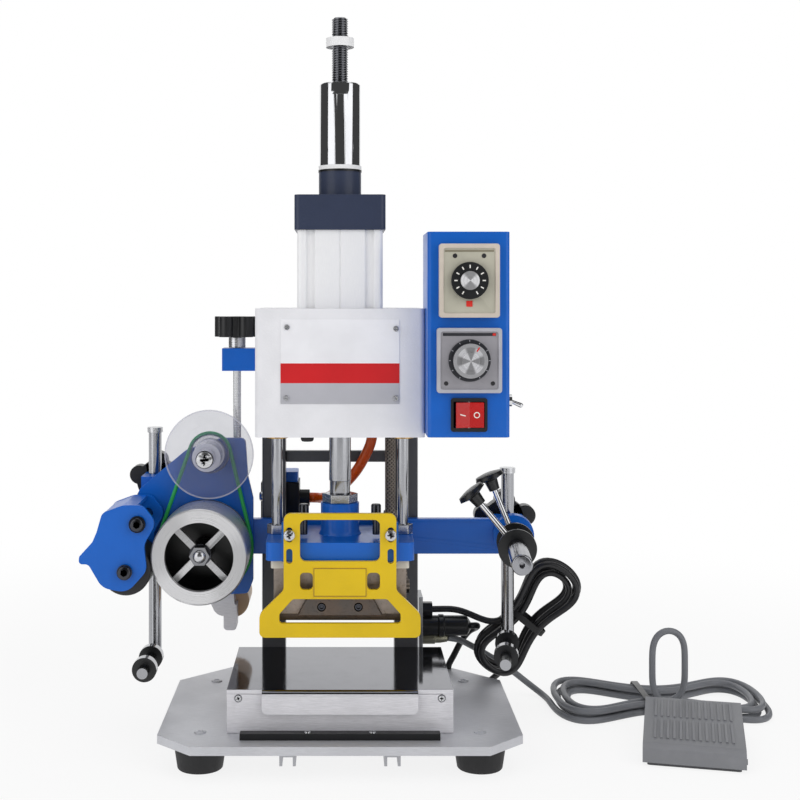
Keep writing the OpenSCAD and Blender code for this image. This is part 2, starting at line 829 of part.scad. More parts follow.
module foil_plate() {
    color("royalblue") difference() {
        along_y(0, 0, foil_front, foil_back) polygon(outline([[-153, 177, 8], [-117, 207, 12],
            [-90, foil_top, 6], [-72, foil_top, 4], [-70, 187, 10], [-66, 170, 10], [-66, 108, 4],
            [-70, 98, 4], [-92, 97, 6], [-116, 104, 14], [-156, 148, 10]]));
        along_y(drum[0], drum[1], foil_front - 1, foil_back + 1) circle(drum_shaft_r + clear);
        for (p = [reel, pivot]) along_y(p[0], p[1], foil_front - 1, foil_back + 1) circle(pin_r);
    }
}

// Motor can on the closed gearbox that drives the drum shaft
module feed_motor() {
    wheel = 19;
    nose = 8.5;
    nose_at = motor - [motor_r - nose, 0];
    lug = 5;
    lug_low = motor[1] - motor_r - 6;
    gear_back = foil_back + gearbox_t;
    side = unit([drum[1] - nose_at[1], nose_at[0] - drum[0]]);
    color("#8f9296") difference() {
        along_y(0, 0, foil_back, gear_back) union() {
            translate(drum) circle(wheel);
            translate(nose_at) circle(nose);
            polygon([drum + wheel * side, nose_at + nose * side, nose_at - nose * side, drum - wheel * side]);
            polygon(outline([[motor[0] - lug, lug_low, 3], [motor[0] + lug, lug_low, 3],
                [motor[0] + lug, motor[1], 0], [motor[0] - lug, motor[1], 0]]));
        }
        along_y(drum[0], drum[1], foil_back - 1, foil_back + 12) circle(drum_shaft_r + run);
    }
    color("#c2a878") {
        along_y(motor[0], motor[1], gear_back, gear_back + motor_l) circle(motor_r);
        along_y(motor[0], motor[1], gear_back + motor_l, gear_back + motor_l + 3) circle(7);
    }
}

// Fixed studs for the take-up reel and the pinch lever, with head and spacer
module foil_studs() {
    module stud(p, r, head_r, tip) {
        spacer = drum_back + clear;
        turned_y(p[0], p[1]) polygon([[0, tip - 3], [head_r, tip - 3], [head_r, tip], [r, tip], [r, spacer],
            [r + 3, spacer], [r + 3, foil_front], [r, foil_front], [r, foil_back], [0, foil_back]]);
    }
    color("#2b2b2d") {
        stud(reel, reel_shaft_r, 6.5, reel_front - clear);
        stud(pivot, pin_r, 6, pinch_front - clear);
    }
}

module feed_drum() {
    hub_r = 8;
    rim_in = 25;
    shell_in = 31;
    bore = drum_shaft_r + run;
    belt_at = groove_r + belt_d / 2 + clear;
    color("silver") difference() {
        union() {
            turned_y(drum[0], drum[1]) polygon([[rim_in, drum_front], [drum_r - 1, drum_front],
                [drum_r, drum_front + 1], [drum_r, drum_back], [bore, drum_back], [bore, drum_front + 10],
                [hub_r, drum_front + 10], [hub_r, drum_back - 6], [shell_in, drum_back - 6],
                [shell_in, drum_front + 7], [rim_in, drum_front + 5]]);
            for (a = [45 : 90 : 359]) translate([drum[0], 0, drum[1]]) rotate([0, a, 0])
                block([hub_r - 1, drum_front + 12, -2.5], [shell_in + 1, drum_front + 18, 2.5]);
        }
        turned_y(drum[0], drum[1]) translate([belt_at, groove_y]) circle(belt_d / 2 + clear);
    }
    color("#77797c") {
        along_y(drum[0], drum[1], drum_front + 5, foil_back + 11) circle(drum_shaft_r);
        along_y(drum[0], drum[1], drum_front + 3, drum_front + 10 - run) hexagon(13);
    }
}

reel_front = groove_y - 38;
reel_groove_r = reel_pulley_r - 1.5;

module take_up_reel() {
    disc = groove_y - 7;
    bore = reel_shaft_r + run;
    belt_at = reel_groove_r + belt_d / 2 + clear;
    color("#e8eef0") difference() {
        turned_y(reel[0], reel[1]) polygon([[bore, reel_front], [6.5, reel_front], [7, disc - 20],
            [10.5, disc - 20], [10.5, disc], [reel_r, disc], [reel_r, disc + 2], [11, disc + 2],
            [11, groove_y - 3], [reel_pulley_r, groove_y - 3], [reel_pulley_r, groove_y + 3],
            [bore, groove_y + 3]]);
        turned_y(reel[0], reel[1]) translate([belt_at, groove_y]) circle(belt_d / 2 + clear);
    }
}

// Round belt from the drum to the reel pulley: an arc on each and two straight runs
module drive_belt() {
    r1 = groove_r + belt_d / 2 + clear;
    r2 = reel_groove_r + belt_d / 2 + clear;
    way = reel - drum;
    mid = atan2(way[1], way[0]);
    wrap = acos((r1 - r2) / norm(way));
    function arc(centre, r, from, sweep, n) = [for (i = [0 : n]) let (a = from + sweep * i / n)
        [centre[0] + r * cos(a), groove_y, centre[1] + r * sin(a)]];
    path = concat(arc(drum, r1, mid + wrap, 360 - 2 * wrap, 30), arc(reel, r2, mid - wrap, 2 * wrap, 16));
    color("limegreen") tube(path, belt_d / 2, 8, [0, 1, 0], closed = true);
}

// Folded bracket of two cheeks and a top flange, with the roller axle
module pinch_lever() {
    cheek = [[-171, 168, 6], [-156, 173.5, 12], [-142, 173.5, 9], [-132, 161, 9], [-141, 145, 12],
        [-139, 126, 10], [-153, 110.5, 12], [-171, 114, 12], [-181, 131, 4], [-188, 131, 2.5],
        [-187.5, 136.5, 2], [-178, 147, 6], [-175, 154, 4]];
    color("royalblue") difference() {
        union() {
            for (y = [pinch_front, pinch_back - pinch_wall])
                along_y(0, 0, y, y + pinch_wall) polygon(outline(cheek));
            along_y(0, 0, pinch_front, pinch_back) polygon([[-169, 168.5], [-156, 173.2],
                [-146, 173.2], [-146, 170.6], [-156, 170.6], [-168, 166]]);
        }
        along_y(pivot[0], pivot[1], pinch_front - 1, pinch_back + 1) circle(pin_r + run);
        along_y(roller[0], roller[1], pinch_front - 1, pinch_back + 1) circle(axle_r + run);
    }
    color("#2b2b2d") {
        along_y(roller[0], roller[1], pinch_front - 0.5, pinch_back + 0.5) circle(axle_r);
        along_y(roller[0], roller[1], pinch_front - 3, pinch_front - 0.5) circle(5.5);
    }
}

module pinch_roller() {
    low = pinch_front + pinch_wall + clear;
    high = groove_y - belt_d / 2 - clear;
    color("#1d1d1f") turned_y(roller[0], roller[1]) polygon([[axle_r + run, low], [roller_r - 1, low],
        [roller_r, low + 1], [roller_r, high - 1], [roller_r - 1, high], [axle_r + run, high]]);
}

module clamp_blocks() {
    low = left_knob_z - 16;
    color("royalblue") {
        difference() {
            block([left_post[0] - 8, foil_back, low], [left_post[0] + 12, left_post[1] + 9, low + 24]);
            translate([left_post[0], left_post[1], low - 1]) cylinder(26, r = foil_rod_d / 2 + run);
            along_y(left_post[0], left_knob_z, left_post[1], left_post[1] + 10) circle(3 + run);
        }
        difference() {
            block([right_post[0] - 10, bar_y + 8, bar_z + 5],
                [right_post[0] + 12, right_post[1] + 9, bar_z + bar_h]);
            translate([right_post[0], right_post[1], bar_z]) cylinder(bar_h + 2, r = foil_rod_d / 2 + run);
            along_y(right_post[0], right_knob_z, right_post[1], right_post[1] + 10) circle(3 + run);
        }
        difference() {
            block([-housing_w / 2 - 29.5, height_y - 11, block_z],
                [-housing_w / 2, height_y + 11, block_z + block_h]);
            translate([height_x, height_y, block_z - 1]) cylinder(block_h + 2, r = height_r + run);
        }
    }
}

// Clamp knob behind a guide post: screw, collar and star
module clamp_knob(p, z, r) {
    back = p[1] + 9;
    color("#18181a") {
        along_y(p[0], z, p[1] + foil_rod_d / 2 + clear, back + clear) circle(3);
        along_y(p[0], z, back + clear, back + 6) circle(7);
        along_y(p[0], z, back + 6, back + 19) star(r);
    }
}

module left_knob() {
    clamp_knob(left_post, left_knob_z, 23);
}

module right_knob() {
    clamp_knob(right_post, right_knob_z, 25);
}

// Foil guide: upright post, guide rod at its foot and two collars on the rod
module foil_guide(p, low, top, reach, turn, collars) {
    rod_r = 4;
    rod_z = low + 6;
    color("silver") {
        along_z(p[0], p[1], low, top) circle(d = foil_rod_d);
        translate([p[0], p[1], rod_z]) rotate([0, 0, turn]) along_y(0, 0, -reach, 0) circle(rod_r);
    }
    color("#18181a") {
        along_z(p[0], p[1], top + run, top + 4) circle(foil_rod_d / 2 + 1);
        for (y = collars) translate([p[0], p[1], rod_z]) rotate([0, 0, turn])
            along_y(0, 0, -y - 8, -y) ring(9, rod_r + run);
    }
}

module left_guide() {
    foil_guide(left_post, 43, 218, 70, 0, [18, 52]);
}

module right_guide() {
    foil_guide(right_post, 54, 187, 84, -8, [16, 54]);
}

// Height adjuster of the foil plate
module height_screw() {
    knob_z = block_z + block_h;
    color("silver") {
        translate([height_x, height_y, foil_top + clear]) cylinder(knob_z + 8 - foil_top, r = height_r);
        along_z(height_x, height_y, knob_z + clear, knob_z + 8) ring(6.5, height_r);
    }
    color("#18181a") along_z(height_x, height_y, knob_z + 8.5, knob_z + 24) star(18);
}

module spindle_frame() {
    translate([spindle[0], spindle_y, spindle[1]]) rotate([0, 0, -spindle_turn]) children();
}

flange_y = [-56, -28];
screw_angle = [130, 112];
thumb_r = 2.2;
thumb_reach = 54;

module foil_spindle() {
    r = spindle_d / 2;
    color("#8d9094") spindle_frame() difference() {
        turned_y(0, 0) polygon([[0, -spindle_l], [r - 1, -spindle_l], [r, 1 - spindle_l], [r, -5],
            [r + 3, -5], [r + 3, -clear], [r, -clear], [r, 8.5], [0, 8.5]]);
        along_y(0, 0, -spindle_l - 1, 6 - spindle_l) circle(1.8);
    }
}

// Cone flanges that hold the foil roll, each with a radial thumb screw
module spindle_flanges() {
    r = spindle_d / 2;
    end = thumb_reach;
    module flange(y) {
        turned_y(0, 0) polygon([[r, y], [14, y], [14, y + 3], [10.5, y + 13], [r, y + 13]]);
    }
    spindle_frame() for (i = [0, 1]) {
        color("#1b1b1d") difference() {
            flange(flange_y[i]);
            translate([0, flange_y[i] + 7, 0]) rotate([0, 90 - screw_angle[i], 0]) cylinder(20, r = thumb_r);
        }
        translate([0, flange_y[i] + 7, 0]) rotate([0, 90 - screw_angle[i], 0]) {
            color("silver") translate([0, 0, r + clear]) cylinder(end - 14 - r, r = thumb_r);
            color("#18181a") rotate_extrude() polygon([[0, end - 13.5], [4, end - 13.5], [5, end - 6],
                [11, end - 4], [10, end - 1], [5, end], [0, end]]);
        }
    }
}

// Air valve, hose and rear connectors

inlet_r = 4;
inlet_l = 15;
inlet_out = 6;
valve_x = [-62, -32];
valve_mid = (valve_x[0] + valve_x[1]) / 2;
valve_y = [post_back, post_back + 30];
valve_top = valve_z + 28;
port_z = valve_z + 14;
port_y = post_back + 15;

// Valve body behind the left post, with a push-in inlet on its left and an outlet on its right
module air_valve() {
    color("#1c1c1e") difference() {
        union() {
            block([valve_x[0], valve_y[0], valve_z], [valve_x[1], valve_y[1], valve_top]);
            along_y(valve_mid, port_z, valve_y[1], valve_y[1] + inlet_out) circle(7);
            along_x(port_y, port_z, valve_x[1], valve_x[1] + 8) circle(6.5);
        }
        along_y(valve_mid, port_z, valve_y[1] + inlet_out - inlet_l, valve_y[1] + inlet_out + 1)
            circle(inlet_r);
        along_x(port_y, port_z, valve_x[1] + 2, valve_x[1] + 9) circle(hose_d / 2 + seat);
    }
    color("royalblue") along_z(valve_mid, port_y, valve_top + run, valve_top + 8)
        rounded_rect(28, 26, 3);
}

hose_pocket = 5;
hose_at = [25, 38];
hose_route = [[hose_at[0], hose_at[1], housing_z - 2], [24.4, 38.6, 217], [22, 41, 208], [14, 46, 192],
    [4, 54, 179], [-7, 67, 168], [-14, 77.5, 164.6], [-18, 81.6, 164.1], [valve_x[1] + 10, port_y, port_z]];
hose_path = concat([[hose_at[0], hose_at[1], housing_z + hose_pocket]], smooth(hose_route, 4),
    [[valve_x[1] + 2, port_y, port_z]]);

module air_hose() {
    color("darkorange") tube(hose_path, hose_d / 2, 12);
}

module terminal_bracket() {
    plate_y = [68.5, 96];
    face = bracket_x + bracket_t;
    color("#9a9da1") union() {
        block([bracket_x, plate_y[0], base_z], [face, plate_y[1], gland_z + 12]);
        block([bracket_x - 22, plate_y[0], base_z], [face, plate_y[1], base_z + bracket_t]);
    }
    color("#1c1c1e") along_x(bracket_y, gland_z, face + run, face + gland_l) difference() {
        hexagon(11);
        circle(d = cord_d);
    }
}

coupler_r = 4.25;
coupler_l = 36.4;
coupler_end = bracket_x + bracket_t + coupler_l;
coupler_route = [[coupler_end - 2, bracket_y, coupler_z], [coupler_end + 3, bracket_y, coupler_z],
    [109, 84, 62], [109, 92, 58.5], [104, 98, 54], [98, 102, 45], [92, 101, 34], [88, 97.5, 28],
    [87, 97, base_z + seat]];

// In-line coupler of the heater circuit and its short lead down to the base plate
module heater_coupler() {
    face = bracket_x + bracket_t;
    color("#151517") {
        translate([face, bracket_y, coupler_z]) rotate([0, 90, 0]) rotate_extrude() polygon([[0, 0],
            [coupler_r, 0], [coupler_r, 13], [coupler_r + 0.9, 13], [coupler_r + 0.9, 17], [coupler_r, 17],
            [coupler_r, coupler_l - 3], [cord_d / 2 + 0.6, coupler_l], [0, coupler_l]]);
        tube(smooth(coupler_route, 3), cord_d / 2, 8);
    }
}

module pedal_connector() {
    face = bracket_x + bracket_t;
    color("#8b8a78") translate([face, bracket_y, connector_z]) rotate([0, 90, 0]) rotate_extrude()
        polygon([[0, 0], [4.75, 0], [4.75, 10], [4, 10.5], [4, 14], [cord_d / 2 + 0.5, connector_l],
            [0, connector_l]]);
}

// Pedal, drawn in its own frame with its front edge on Y = 0

relief_z = 8;
relief_l = 14;
relief_r = 4.5;
pedal_slope = atan((pedal_h - 15) / (pedal_l - 5));

module pedal_frame() {
    translate([pedal_at[0], pedal_at[1], 0]) rotate([0, 0, pedal_turn]) children();
}

module pedal_base() {
    half = pedal_w / 2 - pedal_wall - pedal_gap;
    back = pedal_l - pedal_wall - pedal_gap;
    color("#55575b") pedal_frame() difference() {
        union() {
            along_z(0, back / 2 + 1.5, 0, 8) rounded_rect(2 * half, back - 3, 2);
            block([-9, back - 34, 8], [9, back - 22, 11]);
            block([-7, back - 8, 0], [7, back, 13]);
            translate([0, back, relief_z]) rotate([-90, 0, 0])
                cylinder(relief_l + pedal_wall + pedal_gap, r1 = relief_r, r2 = cord_d / 2 + 0.8);
        }
        along_x(pedal_pin[0], pedal_pin[1], -half - 1, half + 1) circle(pedal_pin_r + run);
    }
}

// Treadle shell with two rows of ribs, and the hinge pin near its front edge
module treadle() {
    half = pedal_w / 2;
    notch_top = relief_z + relief_r + 6.5;
    rib = [1.8, 34, 1];
    inner = pedal_wall;
    module shell() {
        along_x(0, 0, -half, half) polygon(outline([[0, 2.5, 0], [0, 12, 2], [5, 15, 6],
            [pedal_l, pedal_h, 2], [pedal_l, 9, 0]]));
        translate([0, 5, 15]) rotate([pedal_slope, 0, 0]) for (x = [-6 : 6], y = [8, 48])
            translate([x * 4.4 - rib[0] / 2, y, -0.4]) cube([rib[0], rib[1], rib[2] + 0.4]);
    }
    color("#7d7f84") pedal_frame() difference() {
        shell();
        along_x(0, 0, inner - half, half - inner) polygon([[inner, -1], [inner, 11], [6, 12.2],
            [pedal_l - inner, pedal_h - inner - 0.3], [pedal_l - inner, -1]]);
        block([-relief_r - 4, pedal_l - inner - 1, 0], [relief_r + 4, pedal_l + 1, notch_top]);
        along_x(pedal_pin[0], pedal_pin[1], -half - 1, half + 1) circle(pedal_pin_r + run);
    }
    color("silver") pedal_frame()
        along_x(pedal_pin[0], pedal_pin[1], -half, half + 1) circle(pedal_pin_r);
}

// Cords

// One point of a tied hank, u loops along. The loops spiral in and out again, h[6] loops to a layer,
// and climb a layer in the half turn where the spiral reverses.
function climb(t) = let (c = min(max(t, 0), 1)) c * c * (3 - 2 * c);
function layer_at(u, m) =
    climb(2 * (u - m) + 0.5) + climb(2 * (u - 2 * m) + 0.5) + climb(2 * (u - 3 * m) + 0.5);
function hank_at(u, h) =
    let (m = h[6], k = abs(m - u % (2 * m)), a = h[0] + 360 * u)
    let (along = (h[1] + loop_step * k) * cos(a))
    let (across = sin(a) * (waist_0 + loop_step * k + 2.6 * (h[2] + lobe_step * k) * pow(cos(a), 2)))
    h[3] + along * h[4] + across * h[5] + layer_step * layer_at(u, m) * cross(h[4], h[5]);
function hank(h, loops) = let (n = ceil(24 * loops)) [for (i = [0 : n]) hank_at(loops * i / n, h)];

// Least gap of a tube to itself, over points more than a few rings apart
function self_gap(p, d) = let (last = len(p) - 1)
    min([for (i = [0 : last], j = [i + 5 : 1 : last]) norm(p[i] - p[j])]) - d;

waist_0 = 6;
loop_step = cord_d + 2.4;
lobe_step = 2.5;
layer_step = cord_d + 1;

// Hank facts: start angle, inner half length, inner lobe, centre, long way, cross way, loops to a layer
pedal_hank_facts = [180, 69, 29, [252, 78, cord_d / 2 + 0.1], [1, 0, 0], [0, 1, 0], 2.25];
mains_hank_facts = [270, 44, 10, [146, 67.5, 69], unit([0.62, -0.05, 0.78]), unit([0.78, 0, -0.62]), 1.126];
pedal_loops = 4.25;
mains_loops = 4.5;

// The loop that stands up from the tie of the pedal hank
loop_h = 58;
loop_w = 14;
loop_rings = 24;
loop_foot = hank_at(pedal_loops, pedal_hank_facts);
standing_loop = [for (i = [1 : loop_rings]) let (a = 360 * i / loop_rings) loop_foot
    + [loop_w * sin(a) + 4 * i / loop_rings, -7 * i / loop_rings, loop_h / 2 * (1 - cos(a))]];

// From the standing loop into the strain relief of the pedal
pedal_back = pedal_l + relief_l;
relief_way = [-sin(pedal_turn), cos(pedal_turn), 0];
relief_end = [pedal_at[0], pedal_at[1], relief_z] + pedal_back * relief_way;
loop_exit = standing_loop[loop_rings - 1];
pedal_entry = [loop_exit, loop_exit + [6, -0.5, 0], relief_end + 12 * relief_way + [1, 0, 0.3],
    relief_end + cord_d * relief_way, relief_end];
pedal_hank_path = concat(hank(pedal_hank_facts, pedal_loops), standing_loop,
    [for (i = [1 : 12]) smooth(pedal_entry, 3)[i]]);

pedal_run_route = [[bracket_x + bracket_t + connector_l, bracket_y, connector_z],
    [89, bracket_y + 0.5, connector_z - 0.3], [95, 86, 50.5], [102, 93.5, 45.5], [114, 100, 37.5],
    [128, 106, 28], [141, 110, 18.5], [153, 109, 9], [162, 102, 3.5], [165, 92, cord_d / 2 + 0.1]];
pedal_hank_start = pedal_hank_path[0];
pedal_run = concat(smooth(pedal_run_route, 3), [pedal_hank_start + [0, cord_d, 0], pedal_hank_start]);

mains_hank_start = hank_at(0, mains_hank_facts);
mains_run_route = [[bracket_x + bracket_t + gland_l, bracket_y, gland_z], [79, bracket_y, gland_z],
    [92, 79, 76.5], [105, 76, 72], [116, 72, 68], [125, 69, 68.5],
    mains_hank_start - cord_d * mains_hank_facts[4], mains_hank_start];

plug_at = [40, 120, 7];
plug_l = 40;
plug_end = plug_at + [plug_l, 0, 0];
mains_tail = [hank_at(mains_loops, mains_hank_facts), [151, 88, 50], [142, 93, 37], [130, 99, 22],
    [118, 106, 9], [106, 112, 4], [94, 118, 5.5], plug_end + [cord_d, 0, 0], plug_end];
mains_hank_path = concat(hank(mains_hank_facts, mains_loops), [for (i = [1 : 24]) smooth(mains_tail, 3)[i]]);

module pedal_cord_run() {
    color("#66686c") tube(pedal_run, cord_d / 2, 8);
}

module pedal_cord_hank() {
    echo(pedal_hank_gap = self_gap(pedal_hank_path, cord_d));
    color("#66686c") tube(pedal_hank_path, cord_d / 2, 6);
}

module mains_cord_run() {
    color("#1a1a1c") tube(smooth(mains_run_route, 3), cord_d / 2, 8);
}

module mains_cord_hank() {
    echo(mains_hank_gap = self_gap(mains_hank_path, cord_d));
    color("#1a1a1c") tube(mains_hank_path, cord_d / 2, 6);
}

// Two-pin mains plug with its tapered strain relief
module mains_plug() {
    relief = 14;
    pin_gap = 19;
    body_x = plug_at[0] + plug_l - relief;
    color("#1a1a1c") {
        along_x(plug_at[1], plug_at[2], plug_at[0], body_x) rounded_rect(34, 13.5, 5);
        translate([body_x, plug_at[1], plug_at[2]]) rotate([0, 90, 0])
            cylinder(relief, r1 = 5.5, r2 = cord_d / 2 + 0.6);
    }
    color("silver") for (y = [-pin_gap / 2, pin_gap / 2])
        along_x(plug_at[1] + y, plug_at[2], plug_at[0] - 19, plug_at[0]) circle(2);
}

base_plate();
rubber_feet();
base_rails();
front_strip();
table_block();
table_plate();
support_posts();
housing();
guide_plate();
cylinder_caps();
barrel();
stop_sleeve();
control_box();
timer();
temp_controller();
switch_bezels();
foil_bar();
foil_plate();
feed_motor();
foil_studs();
drive_belt();
clamp_blocks();
air_valve();
air_hose();
terminal_bracket();
heater_coupler();
pedal_base();
pedal_connector();
pedal_cord_run();
pedal_cord_hank();
mains_cord_run();
mains_cord_hank();
mains_plug();
piston_rod();
stroke_screw();
ram_fasteners();
crosshead();
guide_rods();
insulation_plate();
heater_block();
heater_lead();
die_plate();
guard();
feed_drum();
take_up_reel();
pinch_lever();
pinch_roller();
foil_spindle();
spindle_flanges();
timer_dial();
temp_knob();
rocker();
toggle_lever();
height_screw();
left_guide();
left_knob();
right_guide();
right_knob();
treadle();
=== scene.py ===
"""Finishes, cords, small fittings and stage of a bench-top hot foil stamping machine."""
import json
import math

import bmesh
import bpy
from mathutils import Matrix, Vector


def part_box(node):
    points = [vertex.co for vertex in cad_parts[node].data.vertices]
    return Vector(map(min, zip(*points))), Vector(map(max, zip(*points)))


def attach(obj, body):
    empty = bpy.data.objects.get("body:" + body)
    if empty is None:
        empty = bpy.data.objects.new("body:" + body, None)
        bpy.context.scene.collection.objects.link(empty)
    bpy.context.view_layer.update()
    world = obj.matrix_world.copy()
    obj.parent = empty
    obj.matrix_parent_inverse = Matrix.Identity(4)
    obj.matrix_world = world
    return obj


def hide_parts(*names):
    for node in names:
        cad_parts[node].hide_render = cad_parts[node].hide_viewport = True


bl_info = {
    "name": "Foil stamping machine",
    "version": (1, 0, 0),
    "blender": (4, 5, 0),
    "location": "View3D > Sidebar > Stamping",
    "description": "Dresses the frame of a hot foil stamping machine and sets its stage",
    "category": "Object",
}

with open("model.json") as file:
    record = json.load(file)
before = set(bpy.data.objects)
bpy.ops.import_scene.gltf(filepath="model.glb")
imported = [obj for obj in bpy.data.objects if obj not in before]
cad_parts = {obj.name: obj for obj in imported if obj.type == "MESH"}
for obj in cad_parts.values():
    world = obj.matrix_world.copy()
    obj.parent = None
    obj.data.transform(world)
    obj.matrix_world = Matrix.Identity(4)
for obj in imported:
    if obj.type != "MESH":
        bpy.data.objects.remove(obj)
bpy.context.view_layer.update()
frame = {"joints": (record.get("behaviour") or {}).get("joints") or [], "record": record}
BODY_OF = {n: b for b, nodes in frame["record"]["behaviour"]["bodies"].items() for n in nodes}
JOINTS = {joint["name"]: joint for joint in frame["joints"]}
MOUNTS = {mount["name"]: mount for mount in frame["record"]["mounts"]}
MM = 0.001
FULL_TURN = 2 * math.pi
UP, DOWN = (0, 0, 1), (0, 0, -1)
TO_LEFT, TO_RIGHT = (-1, 0, 0), (1, 0, 0)
TO_FRONT, TO_REAR = (0, -1, 0), (0, 1, 0)
# Least part of a unit normal along a direction, for a face that counts as facing it
FACING = 0.9
TICK_ANGLES = range(-150, 151, 30)
FINISHES = {}


def rgb(code):
    """Linear colour of a written one such as 1f62b5."""
    parts = [int(code[i:i + 2], 16) / 255 for i in (0, 2, 4)]
    return tuple(c / 12.92 if c <= 0.04045 else ((c + 0.055) / 1.055) ** 2.4 for c in parts)


def mm(*values):
    """A point given in millimetres."""
    return Vector(v * MM for v in values)


def colour_prop(name, description, code):
    return bpy.props.FloatVectorProperty(
        name=name, description=description, subtype="COLOR", size=3, min=0, max=1, default=rgb(code))


def length_prop(name, description, millimetres):
    return bpy.props.FloatProperty(
        name=name, description=description, unit="LENGTH", subtype="DISTANCE", default=millimetres * MM)


class StampColours(bpy.types.PropertyGroup):
    """Colours of the paints, metals, plastics and sheaths."""
    blue: colour_prop("Blue paint", "Gloss paint of the carriers and the control box", "0661c4")
    yellow: colour_prop("Guard yellow", "Paint of the finger guard", "e3bf08")
    navy: colour_prop("Cylinder navy", "Paint of the cylinder caps", "343d55")
    white: colour_prop("Housing white", "Paint of the head housing", "ececf0")
    label_red: colour_prop("Label red", "Red band of the bare label plate", "d21a20")
    label_grey: colour_prop("Label grey", "Grey band of the bare label plate", "b9b9c0")
    aluminium: colour_prop("Aluminium", "Base plate", "d3d4d9")
    steel: colour_prop("Bright steel", "Screws, nuts and rods", "d2d3d6")
    dark_steel: colour_prop("Dark steel", "Posts and studs", "4a4b4f")
    stained: colour_prop("Heat stain", "Heater block and die plate", "a0968f")
    black: colour_prop("Black plastic", "Knobs, collars and bezels", "17181a")
    beige: colour_prop("Timer beige", "Frame of the timer", "cdc2b6")
    grey: colour_prop("Controller grey", "Frame of the temperature controller", "b2b2ba")
    red: colour_prop("Switch red", "Rocker of the power switch", "b80707")
    orange: colour_prop("Air tube", "Orange air tube", "e2560c")
    green: colour_prop("Round belt", "Green drive belt", "23a552")
    pedal: colour_prop("Pedal grey", "Shell of the foot pedal", "7f8084")
    pedal_cord: colour_prop("Pedal cord", "Sheath of the pedal cord", "75777c")
    mains_cord: colour_prop("Mains lead", "Sheath of the mains lead", "1c1c1f")


class StampSizes(bpy.types.PropertyGroup):
    """Sizes of what the frame does not hold."""
    cord: length_prop("Cord", "Diameter of the pedal cord and the mains lead", 5)
    edge: length_prop("Edge", "Rounding of a machined edge", 0.5)
    label_w: length_prop("Label width", "Width of the bare label plate", 83)
    label_h: length_prop("Label height", "Height of the bare label plate", 59)
    thread: length_prop("Thread pitch", "Pitch of the stroke screw", 1.75)


class StampView(bpy.types.PropertyGroup):
    """Camera and light."""
    eye: bpy.props.FloatVectorProperty(
        name="Eye", description="Place of the camera", subtype="XYZ", unit="LENGTH",
        default=(0, -0.99, 0.321))
    lens: bpy.props.FloatProperty(
        name="Lens", description="Focal length on a 36 mm wide sensor", unit="CAMERA", default=60.75)
    shift: bpy.props.FloatVectorProperty(
        name="Shift", description="Lens shift in frame widths, which keeps uprights parallel", size=2,
        default=(0.075, -0.125))
    ambient: bpy.props.FloatProperty(
        name="Ambient", description="Strength of the even light all round", subtype="FACTOR", min=0, max=1,
        default=0.5)
    mirrored: bpy.props.FloatProperty(
        name="Mirrored", description="Brightness of the dark walls in reflections", subtype="FACTOR",
        min=0, max=1, default=0.06)
    key: bpy.props.FloatProperty(
        name="Key lamp", description="Power of the soft box on the left", unit="POWER", default=7.5)
    fill: bpy.props.FloatProperty(
        name="Fill lamp", description="Power of the soft box on the right", unit="POWER", default=7.6)
    top: bpy.props.FloatProperty(
        name="Top lamp", description="Power of the soft box overhead", unit="POWER", default=6.2)


def colours():
    return bpy.context.scene.stamp_colours


def sizes():
    return bpy.context.scene.stamp_sizes


class Value:
    """A socket of a finish. Arithmetic on it adds the Math nodes."""

    def __init__(self, finish, socket):
        self.finish = finish
        self.socket = socket

    def math(self, operation, *inputs):
        return self.finish.node("ShaderNodeMath", {"operation": operation}, dict(enumerate(inputs)))

    def __add__(self, other):
        return self.math("ADD", self, other)

    def __sub__(self, other):
        return self.math("SUBTRACT", self, other)

    def __rsub__(self, other):
        return self.math("SUBTRACT", other, self)

    def __mul__(self, other):
        return self.math("MULTIPLY", self, other)

    def __gt__(self, other):
        return self.math("GREATER_THAN", self, other)

    def __lt__(self, other):
        return self.math("LESS_THAN", self, other)

    __radd__ = __add__
    __rmul__ = __mul__

    def sine(self):
        return self.math("SINE", self)

    def larger(self, other):
        return self.math("MAXIMUM", self, other)

    def hypot(self, other):
        return self.math("SQRT", self * self + other * other)

    def step(self, low, high):
        """0 below low, 1 above high, smooth between."""
        return self.finish.node("ShaderNodeMapRange", {"interpolation_type": "SMOOTHSTEP"},
                                {"Value": self, "From Min": low, "From Max": high})


class Tree:
    """Nodes of a finish or of the world."""

    def __init__(self, tree):
        self.tree = tree

    def node(self, kind, settings=None, inputs=None, output=0):
        made = self.tree.nodes.new(kind)
        for key, value in (settings or {}).items():
            setattr(made, key, value)
        for key, value in (inputs or {}).items():
            self.feed(made.inputs[key], value)
        return Value(self, made.outputs[output]) if made.outputs else None

    def feed(self, socket, value):
        if isinstance(value, Value):
            self.tree.links.new(value.socket, socket)
        elif socket.type == "RGBA" and len(value) == 3:
            socket.default_value = (*value, 1)
        else:
            socket.default_value = value


